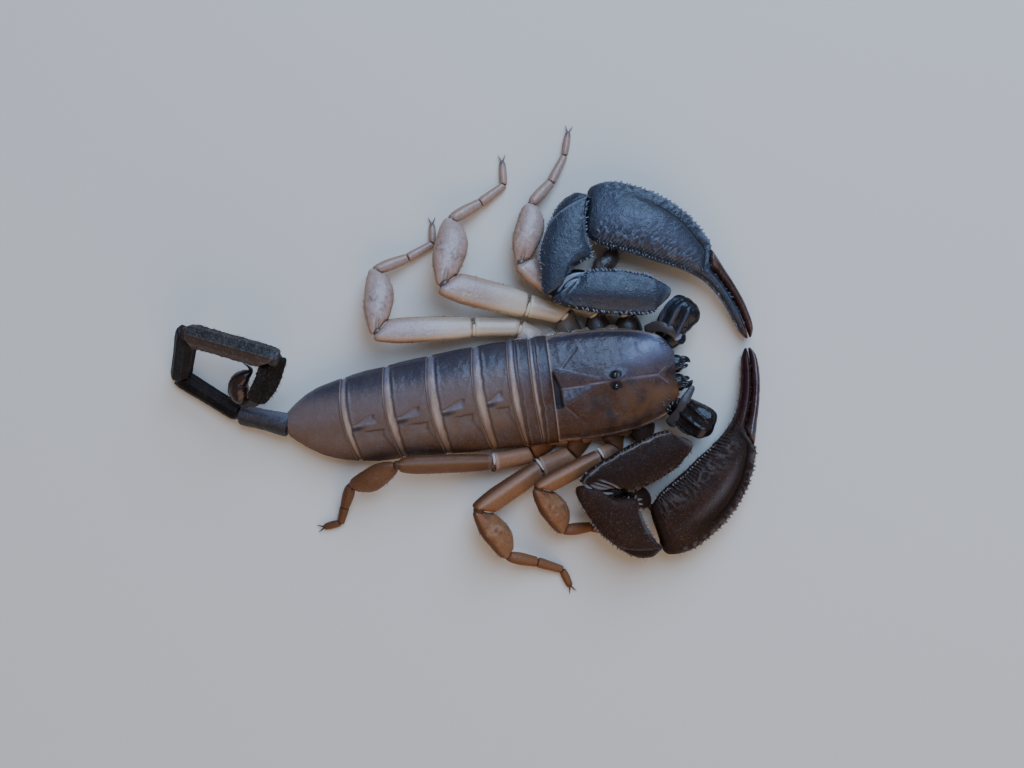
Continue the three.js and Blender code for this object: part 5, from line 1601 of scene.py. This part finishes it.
class Leg:
    """One leg: where its joints are, how its lengths are cut there, and how its side looks."""

    def __init__(self, name, index):
        self.key = f"{name}_{index + 1}"
        self.index, self.look, self.material = index, LEG_SIDES[name], f"Legs {name}"
        self.side, roll, hip, *lengths = LEGS[self.key]
        self.femur, self.patella, self.tibia = (LEG_WIDTHS[index][part] / 2
                                                for part in ("femur", "patella", "tibia"))
        joints = self.joints = joints_of(hip, lengths, self.side)
        self.turn = math.radians(roll * self.side)
        self.cuts = [None, *(mitre(*joints[k - 1:k + 2]) for k in range(1, 7)), None]
        self.patella_heading = lengths[3][1]
        self.seed = 200 + 20 * index + (100 if self.side < 0 else 0)
        # Painted shade over the whole leg: on the first leg, hidden under the arm, and on the right rear leg.
        self.dark = self.look["dark"][index]

    def length(self, k, profile, sides, gap=0.06, rounding=0.35, flat=LEG_FLATNESS):
        table = [[share, half, half, half * flat] for share, half in profile]
        skin = length(self.joints[k], self.joints[k + 1], table, self.turn, self.cuts[k:k + 2], self.side,
                      sides, 2.15, gap, rounding)
        skin.inner = -skin.sideways * self.side
        seed = self.seed + 2 * k
        return skin.lift(0.015 * skin.noise(0.7, seed, 3) + 0.01 * skin.grains(0.26, seed + 1))

    def make_thigh(self):
        look, root = self.look, self.femur * 0.78
        coxa = self.length(0, COXA_SHAPE, 80, flat=0.62, rounding=0.3)
        coxa.mark(pale=look["root_pale"], warm=look["root_warm"], dark=look["root_shade"][self.index])
        trochanter = self.length(1, [[0, 1], *scaled(TROCHANTER_SHAPE, root)], 80, flat=0.85)
        s = trochanter.share
        trochanter.lift(0.05 * bell(s, 0.93, 0.04) + 0.04 * bell(s, 0.08, 0.05))
        # The front trochanters are darkened as painted shade, where they lie under the arms.
        trochanter.mark(pale=0.35 * bell(s, 0.93, 0.05) + look["trochanter_pale"],
                        dark=strongest(0.35 * bell(s, 0.99, 0.02),
                                       0.8 * LEG_SHADE_UNDER_ARMS[self.index] * step(1, 0.2, s)),
                        warm=0.35 * step(0.1, 0.9, trochanter.inner))
        thigh = self.length(2, scaled(THIGH_SHAPE, self.femur * look["thigh_size"]), 110, rounding=0.6)
        s, across = thigh.share, abs(thigh.inner)
        ridge = bell(thigh.inner, 0.62, 0.16) * step(-0.1, 0.4, thigh.rise)
        thigh.lift(ridge * (0.05 + 0.06 * thigh.grains(0.3, self.seed + 9)) + 0.05 * bell(s, 0.03, 0.02))
        # Pale patches near the knee on top of the thigh, on the two rear left legs only.
        pale_patches = step(0.35, 0.7, thigh.noise(0.7, self.seed + 10, 2, [1, 0.8, 1])) * bell(s, 0.72, 0.13)
        pale_patches = pale_patches * step(0.2, 0.6, thigh.rise) * (self.index in look["pale_patched"])
        thigh.mark(
            pale=strongest(0.35 * bell(s, 0.03, 0.03), look["ridge_pale"] * ridge, 0.7 * pale_patches,
                           look["thigh_pale"] * step(0.7, 0.1, s)),
            warm=strongest(0.75 * step(0.55, 1, across), 0.5 * step(0, -0.6, thigh.rise),
                           0.3 * step(0.2, 0, s)),
            dark=strongest(0.3 * step(0.93, 1, s), self.dark, look["outline"] * step(0.8, 1, across)),
        )
        parts = [coxa, trochanter, thigh]
        for k, radius in ((1, 1.1), (2, root)):
            along = unit(self.joints[k + 1] - self.joints[k - 1])
            outward = np.cross(along, [0, 0, 1]) * self.side
            if k == 2 or self.side > 0:
                parts.append(collar(self.joints[k] + [0, 0, 0.02], along, radius, look["collar"], -outward))
            at = self.joints[k] + outward * radius * 0.85 + [0, 0, 0.3]
            parts.append(painted(ball(at, [look["spot"], look["spot"], 0.3], 18), dark=look["spot_dark"],
                                 gloss=0.4))
        GROWN[f"thigh_{self.key}"] = thigh
        stand_in(f"leg_{self.key}_femur", parts, self.material, "leg")

    def make_patella(self):
        knee = painted(ball(self.joints[3], [self.femur * 0.42] * 3, 24), dark=0.75, gloss=0.3)
        half = self.patella * (self.look["rear_patella_size"] if self.index > 1 else 1)
        shell = self.length(3, scaled(PATELLA_SHAPE, half), 120, rounding=0.7)
        bulge = heading(self.patella_heading - 90) * [self.side, 1, 1]
        shell.points = shell.points + 0.2 * self.patella * bell(shell.share, 0.66, 0.3)[..., None] * bulge
        s, across, rise = shell.share, abs(shell.sideways), shell.rise
        wrinkled = shell.noise(0.55, self.seed + 11, 4) * step(0.1, 0.5, rise) * bell(s, 0.45, 0.32)
        crease = bell(across, 0.28 * (1 - s / 0.25), 0.12) * step(0.3, 0.1, s) * step(0, 0.4, rise)
        shell.lift(0.07 * wrinkled - 0.08 * crease)
        shell.mark(
            pale=0.18 * step(0.1, 0.5, wrinkled) + 0.25 * bell(s, 0.97, 0.02),
            warm=strongest(0.7 * step(0.62, 1, across), 0.5 * step(0, -0.6, rise), 0.45 * step(0.35, 0, s)),
            dark=strongest(0.45 * crease, 0.45 * step(0.03, 0, s), 0.4 * step(-0.1, -0.45, wrinkled),
                           self.dark, self.look["outline"] * step(0.82, 1, across)),
        )
        stand_in(f"leg_{self.key}_patella", [shell, knee], self.material, "leg")

    def make_foot(self):
        tibia = self.tibia
        shin = self.length(4, scaled(TIBIA_SHAPE, tibia), 64, 0.02, 0.2, 0.95)
        base = self.length(5, scaled(BASITARSUS_SHAPE, tibia), 56, 0.02, 0.2, 1)
        toe = self.length(6, scaled(TARSUS_SHAPE, tibia), 56, 0.05, 0.3, 1)
        for skin in (shin, base, toe):
            across = abs(skin.sideways)
            skin.mark(warm=0.25 + 0.5 * np.maximum(step(0.2, -0.7, skin.rise), step(0.4, 1, across)),
                      dark=np.maximum(self.dark, 0.1 + 0.2 * step(0.75, 1, across)))
        shin.mark(dark=0.35 * step(0.97, 0.99, shin.share) + 0.25 * step(0.06, 0, shin.share))
        base.mark(dark=0.35 * step(0.03, 0, base.share) + 0.45 * step(0.93, 1, base.share))
        toe.mark(dark=0.7 * step(0.08, 0, toe.share) + 0.75 * step(0.62, 1, toe.share), warm=0.3)
        along = unit(self.joints[7] - self.joints[6])
        across = np.cross(along, [0, 0, 1])
        tip = self.joints[7] + np.array([0, 0, 0.12])
        claws = thorns([tip + across * 0.16, tip - across * 0.16],
                       [along + across * 0.45, along - across * 0.45], 1, 0.14, bend=[0, 0, -0.12], sides=8,
                       levels=7, blunt=0.1)
        roots, out, forward = along_edge(toe, 1.5 * np.pi - 0.5, np.linspace(0.4, 2.4, 5))
        spines = thorns(roots, out * [1, 1, 0.1] + forward, 0.3, 0.06, sides=5)
        ankle = painted(ball(self.joints[4], [tibia * 0.6] * 3, 20), dark=0.6)
        parts = [shin, base, toe, painted(claws, dark=0.8, gloss=0.5), painted(spines, dark=0.4), ankle]
        stand_in(f"leg_{self.key}_foot", parts, self.material, "leg")


class OBJECT_OT_scorpion_legs(bpy.types.Operator):
    """Build the eight legs, each as thigh, patella and foot"""

    bl_idname = "object.scorpion_legs"
    bl_label = "Legs"

    def execute(self, context):
        for name, _ in SIDES:
            for index in range(4):
                leg = Leg(name, index)
                leg.make_thigh()
                leg.make_patella()
                leg.make_foot()
        return {"FINISHED"}


# ---- tail ----


def faceted(skin, sides, amount, offset=0.5):
    """Presses the round sections of a tube towards a polygon, with its corners as keels."""
    around = skin.points.shape[1]
    angle = np.arange(around) * 2 * np.pi / around
    sector = 2 * np.pi / sides
    local = np.mod(angle / sector + offset, 1) - 0.5
    flat = np.cos(sector / 2) / np.cos(local * sector)
    corner = abs(local) * 2
    middle = skin.points.mean(1, keepdims=True)
    scale = 1 + amount * (flat - 1)
    skin.points = middle + (skin.points - middle) * scale[None, :, None]
    return np.broadcast_to(step(0.72, 1, corner)[None, :], skin.rise.shape)


class OBJECT_OT_scorpion_tail(bpy.types.Operator):
    """Build the five keeled lengths of the tail and the telson with its sting"""

    bl_idname = "object.scorpion_tail"
    bl_label = "Tail and sting"

    def execute(self, context):
        joints = joints_of(TAIL_ROOT, [part["step"] for part in TAIL])
        parts_of_joints = []
        for index, part in enumerate(TAIL):
            cuts = (
                mitre(*joints[index - 1:index + 2]) if index else None,
                mitre(*joints[index:index + 3]) if index < 4 else None,
            )
            wide, high = part["width"] / 2, part["height"] / 2
            profile = [[share, wide * size, wide * size, high * size] for share, size in TAIL_SHAPES[index]]
            start = joints[index] - (0 if index else 0.6) * unit(joints[1] - joints[0])
            skin = length(start, joints[index + 1], profile, math.radians(part["roll"]), cuts, 1, 120, 2.3,
                          0.12, 0.35 if index < 3 else 0.8)
            if index == 4:
                skin.points[..., 1] -= 0.5 * bell(skin.share, 0.55, 0.35)
            keel = faceted(skin, 8, (0.1, 0.8, 0.8, 0.75, 0.35)[index]) * (index > 0)
            s = skin.share
            inside = step(0.2, 0.7, skin.rise)
            beads = skin.grains(0.42, 301 + index, 0.95)
            rough = (0.15, 0.35, 0.5, 1.2, 1.2)[index]
            ends = step(0.03, 0.1, s) * step(0.98, 0.92, s)
            height = keel * (0.07 + 0.08 * rough * beads) * ends
            height += 0.07 * rough * skin.grains(0.36, 311 + index, 0.85) * ends
            height -= (0.1 if index else 0.02) * bell(skin.sideways, 0, 0.28) * inside * ends
            height += 0.05 * bell(s, 0.975, 0.02) + 0.02 * skin.noise(0.9, 321 + index, 3)
            skin.lift(height)
            skin.points[..., 2] = np.maximum(skin.points[..., 2], 0)
            # On the first length the mask called right turns the top to a lighter blue-grey: a painted sky
            # reflection.
            skin.mark(
                pale=np.maximum(0.16 * keel * ends * (0.4 + 0.6 * beads), 0.22 * bell(s, 0.985, 0.015)),
                dark=strongest(0.6 * step(0.03, 0, s), 0.5 * step(0.985, 1, s), (0, 0.6, 0.7, 0, 0.7)[index]),
                warm=(0, 0.3, 0.2, 1, 0.3)[index] * inside,
                right=(0.45 + 0.55 * bell(skin.sideways, 0.1, 0.45)) * inside * (index == 0),
            )
            matt = "Tail, matt" if index in (1, 2, 4) else "Tail"
            stand_in(f"tail_{index + 1}", [skin], matt, "tail")
            if index:
                parts_of_joints.append(ball(joints[index], [min(wide, high) * 0.8] * 3, 26))
        parts_of_joints.append(ball(joints[0], [1.25, 0.8, 1.1], 26))
        root, bulb = np.array(TELSON[0][:3]), np.array(TELSON[1][:3])
        inner = joints[5] + 1.3 * unit(joints[4] - joints[5])
        line = [inner, joints[5], (joints[5] + root) / 2, root, bulb]
        neck = ribbon(line, [0.9, 0.85, 0.66, 0.62, 0.5], 1, 40)
        neck.lift(0.04 * neck.noise(0.5, 330, 3))
        parts_of_joints.append(neck)
        piece("tail_folds", parts_of_joints, "Dark folds", "tail")
        self.telson()
        return {"FINISHED"}

    def telson(self):
        table = np.array(TELSON, float)
        knots = np.concatenate([[0], np.cumsum(np.linalg.norm(np.diff(table[:, :3], axis=0), axis=1))])
        share = places(knots[-1], 0.09, 0.5)
        way = share * knots[-1]
        centres = np.stack([smooth(np.stack([knots, table[:, k]], -1), way) for k in range(3)], -1)
        along = unit(np.gradient(centres, way, axis=0))
        wide, high = (smooth(np.stack([knots, table[:, k]], -1), way) / 2 for k in (3, 4))
        start = 0.3 + 0.7 * np.sqrt(1 - (1 - clamp(way / 0.6)) ** 2)
        sharp = 0.12 + 0.88 * clamp((knots[-1] - way) / 1.6) ** 0.6
        wide, high = wide * start * sharp, high * start * sharp
        roll = np.full(len(way), math.radians(TELSON_ROLL))
        skin = tube(centres, along, roll, wide, wide, high, high, 100, 2, way)
        bulb = step(5.4, 4.2, way)[:, None]
        height = bulb * (0.05 * skin.noise(0.8, 331, 2) + 0.05 * skin.grains(0.42, 332, 0.5)
                         * step(0.1, -0.5, skin.rise))
        height -= 0.06 * bulb * bell(skin.sideways, 0.45, 0.12) * step(0.2, -0.2, skin.rise)
        skin.lift(height)
        skin.mark(dark=0.85 * step(4.6, 6.2, way)[:, None], pale=0.25 * bell(way, 0.25, 0.15)[:, None],
                  gloss=0.25 + 0 * skin.rise)
        stand_in("telson", [skin], "Sting", "sting")


# ---- bristles ----


def bristles(skin, region, count, height, radius, seed, lie=0.6, stray=0.5):
    """Closed tapering hairs rooted where region is 1, and each root's place round and along the skin."""
    rings, around = skin.points.shape[:2]
    number = np.arange(count * 40)
    row = 1 + (dice(number, 0, 0, seed) * (rings - 2)).astype(int)
    column = (dice(number, 1, 0, seed) * around).astype(int)
    wanted = np.broadcast_to(region, skin.points.shape[:2])[row, column]
    row, column, number = (
        v[wanted > dice(number, 2, 0, seed)][:count] for v in (row, column, number)
    )
    forward = unit(skin.points[row + 1, column] - skin.points[row - 1, column])
    wander = np.stack([dice(number, k, 0, seed) - 0.5 for k in (3, 4, 5)], -1)
    direction = unit(skin.normals()[row, column] + lie * forward + stray * wander)
    tall = height * (0.5 + 0.5 * dice(number, 6, 0, seed))
    hairs = thorns(skin.points[row, column], direction, tall, radius, bend=0.25 * tall[:, None] * forward,
                   sides=4, levels=BRISTLE_LEVELS, sunk=0.1, blunt=0.2)
    return hairs, np.stack([column / around, row / rings], -1)


def bristle_piece(name, material, slot, growths):
    """Joins growths of hairs. Each skin's unwrap has its own strip of the map, with a patch for each hair."""
    angle = np.arange(4) * np.pi / 2
    rows = [np.stack([np.cos(angle), 0 * angle + 2 * share - 1], -1)
            for share in np.linspace(0, 1, BRISTLE_LEVELS)]
    patch = np.concatenate([*rows, [[0, -1], [0, 1]]]) * BRISTLE_PATCH / 2
    parts, maps = [], []
    for strip, (hairs, place) in enumerate(growths):
        parts.append(hairs)
        root = np.stack([(strip + 0.03 + 0.94 * place[:, 0]) / len(growths), 0.02 + 0.96 * place[:, 1]], -1)
        maps.append((root[:, None, :] + patch[None, :, :]).reshape(-1, 2))
    piece(name, parts, material, slot, hair_map=np.concatenate(maps))


class OBJECT_OT_scorpion_bristles(bpy.types.Operator):
    """Set bristles on the mouth, the sides of the trunk, the arms, the legs and the tail"""

    bl_idname = "object.scorpion_bristles"
    bl_label = "Bristles"

    def execute(self, context):
        longest = context.scene.scorpion_sizes.hair / MM
        tail = []
        for index, (count, height) in enumerate(((30, 0.2), (40, 0.2), (90, 0.2), (420, 0.28), (320, 0.26))):
            skin = GROWN[f"tail_{index + 1}"]
            clear = step(0.03, 0.08, skin.share) * step(0.98, 0.93, skin.share)
            tail.append(bristles(skin, clear, count, height * longest, 0.022, 400 + index))
        skin = GROWN["telson"]
        tail.append(bristles(skin, step(5.0, 4.0, skin.way), 60, 0.25 * longest, 0.02, 410))
        bristle_piece("tail_bristles", "Bristles", "tail", tail)
        for name, side in SIDES:
            arm = []
            for k, (part, count) in enumerate((("palm", 420), ("patella", 260), ("femur", 220))):
                skin = GROWN[f"pincer_{name}_{part}"]
                edges = step(0.7, 0.92, abs(skin.sideways)) + 0.1
                clear = edges * step(0.02, 0.06, skin.share) * step(0.98, 0.9, skin.share)
                arm.append(bristles(skin, clear, count, 0.3 * longest, 0.026, 420 + k, 0.4))
            # Bristles on the left arm are painted pale bluish white as the lit side, those on the right arm
            # brown as the shaded side.
            material = "Pale bristles" if side > 0 else "Bristles"
            bristle_piece(f"pincer_{name}_bristles", material, "pincer", arm)
            mouth = []
            block = GROWN[f"chelicera_{name}"]
            front = step(0.25, 0.6, block.share) * step(-0.1, 0.4, block.rise)
            mouth.append(bristles(block, front, 16, 0.28 * longest, 0.028, 430, 1.4, 0.8))
            shield = GROWN["carapace"]
            x, y = shield.points[..., 0] * side, shield.points[..., 1]
            corner = bell(np.hypot(x - 4.6, y + 17.0), 0, 0.75) * step(0, 0.3, shield.rise)
            mouth.append(bristles(shield, corner, 20, 0.24 * longest, 0.034, 440, -1.2, 0.5))
            bristle_piece(f"mouth_{name}_bristles", "Pale bristles", "pincer", mouth)
            legs = []
            for index in range(4):
                for k, part in enumerate(("leg_{}_{}_patella", "thigh_{}_{}")):
                    skin = GROWN[part.format(name, index + 1)]
                    edges = step(0.75, 0.95, abs(skin.sideways)) * step(0.05, 0.15, skin.share)
                    clear = edges * step(0.97, 0.88, skin.share)
                    legs.append(bristles(skin, clear, 50, 0.26 * longest, 0.022, 450 + 2 * index + k, 0.9))
            bristle_piece(f"leg_{name}_bristles", "Bristles", "leg", legs)
        sides = []
        for index, count in ((1, 8), (2, 8)):
            ring = GROWN[f"trunk_ring_{index}"]
            margin = bell(ring.rise, 0.05, 0.15) * (ring.points[..., 0] > 0)
            sides.append(bristles(ring, margin, count, longest, 0.03, 480 + index, -0.4, 0.9))
        shield = GROWN["carapace"]
        x, y = shield.plan()
        margin = bell(shield.rise, 0.05, 0.15) * (x > 0) * step(-7, -3, y)
        sides.append(bristles(shield, margin, 14, 0.8 * longest, 0.03, 485, 0.5, 0.9))
        bristle_piece("trunk_bristles", "Pale bristles", "shell", sides)
        return {"FINISHED"}


# ---- stage ----

FLOOR_REACH = 3.0
VIEW_CENTRE = [1.5, 5.9, 0]
VIEW_TOP = (0.992, -0.127)  # the direction over the floor that is up in the view


class OBJECT_OT_scorpion_stage(bpy.types.Operator):
    """Lay the floor, hang the lights and set the camera over the animal"""

    bl_idname = "object.scorpion_stage"
    bl_label = "Stage"

    def execute(self, context):
        stage = context.scene.scorpion_stage
        self.floor()
        self.light("Sky light", (0.3, -0.18, 0.42), (0.34, 0.6), stage.sky_power, (0.38, 0.6, 1.0))
        self.light("Warm light", (-0.42, -0.05, 0.3), (0.5, 0.5), stage.warm_power, (1.0, 0.74, 0.52))
        world = bpy.data.worlds.new("Soft room")
        context.scene.world = world
        world.use_nodes = True
        back = world.node_tree.nodes["Background"]
        back.inputs["Color"].default_value = (1.0, 0.9, 0.86, 1)
        back.inputs["Strength"].default_value = 0.22
        data = bpy.data.cameras.new("Camera")
        data.lens = stage.lens
        data.sensor_width = 36
        camera = bpy.data.objects.new("Camera", data)
        context.scene.collection.objects.link(camera)
        over = ORIGIN + np.array(VIEW_CENTRE) * MM
        camera.location = (over[0], over[1], stage.camera_height)
        camera.rotation_euler = (0, 0, -math.atan2(*VIEW_TOP))
        context.scene.camera = camera
        return {"FINISHED"}

    def floor(self):
        mesh = bpy.data.meshes.new("floor")
        corners = [(x * FLOOR_REACH, y * FLOOR_REACH, 0) for x, y in ((-1, -1), (1, -1), (1, 1), (-1, 1))]
        mesh.from_pydata(corners, [], [(0, 1, 2, 3)])
        floor = bpy.data.objects.new("floor", mesh)
        bpy.context.scene.collection.objects.link(floor)
        material = bpy.data.materials.new("Floor")
        material.use_nodes = True
        shader = material.node_tree.nodes["Principled BSDF"]
        shader.inputs["Base Color"].default_value = rgba(bpy.context.scene.scorpion_colours.floor)
        shader.inputs["Roughness"].default_value = 0.85
        floor.data.materials.append(material)

    def light(self, name, place, size, power, tint):
        data = bpy.data.lights.new(name, "AREA")
        data.shape = "RECTANGLE"
        data.size, data.size_y = size
        data.energy = power
        data.color = tint
        made = bpy.data.objects.new(name, data)
        made.location = place
        aim = np.array([0, 0, 0.004]) - np.array(place)
        flat = math.hypot(aim[0], aim[1])
        made.rotation_euler = (math.atan2(flat, -aim[2]), 0, math.atan2(aim[1], aim[0]) - math.pi / 2)
        bpy.context.scene.collection.objects.link(made)


class VIEW3D_PT_scorpion(bpy.types.Panel):
    """Lists the steps that build the scorpion"""

    bl_label = "Scorpion"
    bl_idname = "VIEW3D_PT_scorpion"
    bl_space_type = "VIEW_3D"
    bl_region_type = "UI"
    bl_category = "Scorpion"

    def draw(self, context):
        for settings in (context.scene.scorpion_colours, context.scene.scorpion_sizes,
                         context.scene.scorpion_stage):
            for name in settings.__annotations__:
                self.layout.prop(settings, name)
        for step_class in STEPS:
            self.layout.operator(step_class.bl_idname)


SETTINGS = {
    "scorpion_colours": ScorpionColours, "scorpion_sizes": ScorpionSizes, "scorpion_stage": ScorpionStage,
}
STEPS = (
    OBJECT_OT_scorpion_carapace, OBJECT_OT_scorpion_eyes, OBJECT_OT_scorpion_trunk,
    OBJECT_OT_scorpion_mouth, OBJECT_OT_scorpion_underside, OBJECT_OT_scorpion_pincers,
    OBJECT_OT_scorpion_legs, OBJECT_OT_scorpion_tail, OBJECT_OT_scorpion_bristles,
    OBJECT_OT_scorpion_stage,
)


def register():
    for made in (*SETTINGS.values(), *STEPS, VIEW3D_PT_scorpion):
        bpy.utils.register_class(made)
    for name, made in SETTINGS.items():
        setattr(bpy.types.Scene, name, PointerProperty(type=made))


def unregister():
    for name in SETTINGS:
        delattr(bpy.types.Scene, name)
    for made in reversed((*SETTINGS.values(), *STEPS, VIEW3D_PT_scorpion)):
        bpy.utils.unregister_class(made)


def main():
    register()
    make_materials()
    for made in STEPS:
        area, name = made.bl_idname.split(".")
        getattr(getattr(bpy.ops, area), name)()


if __name__ == "__main__":
    main()
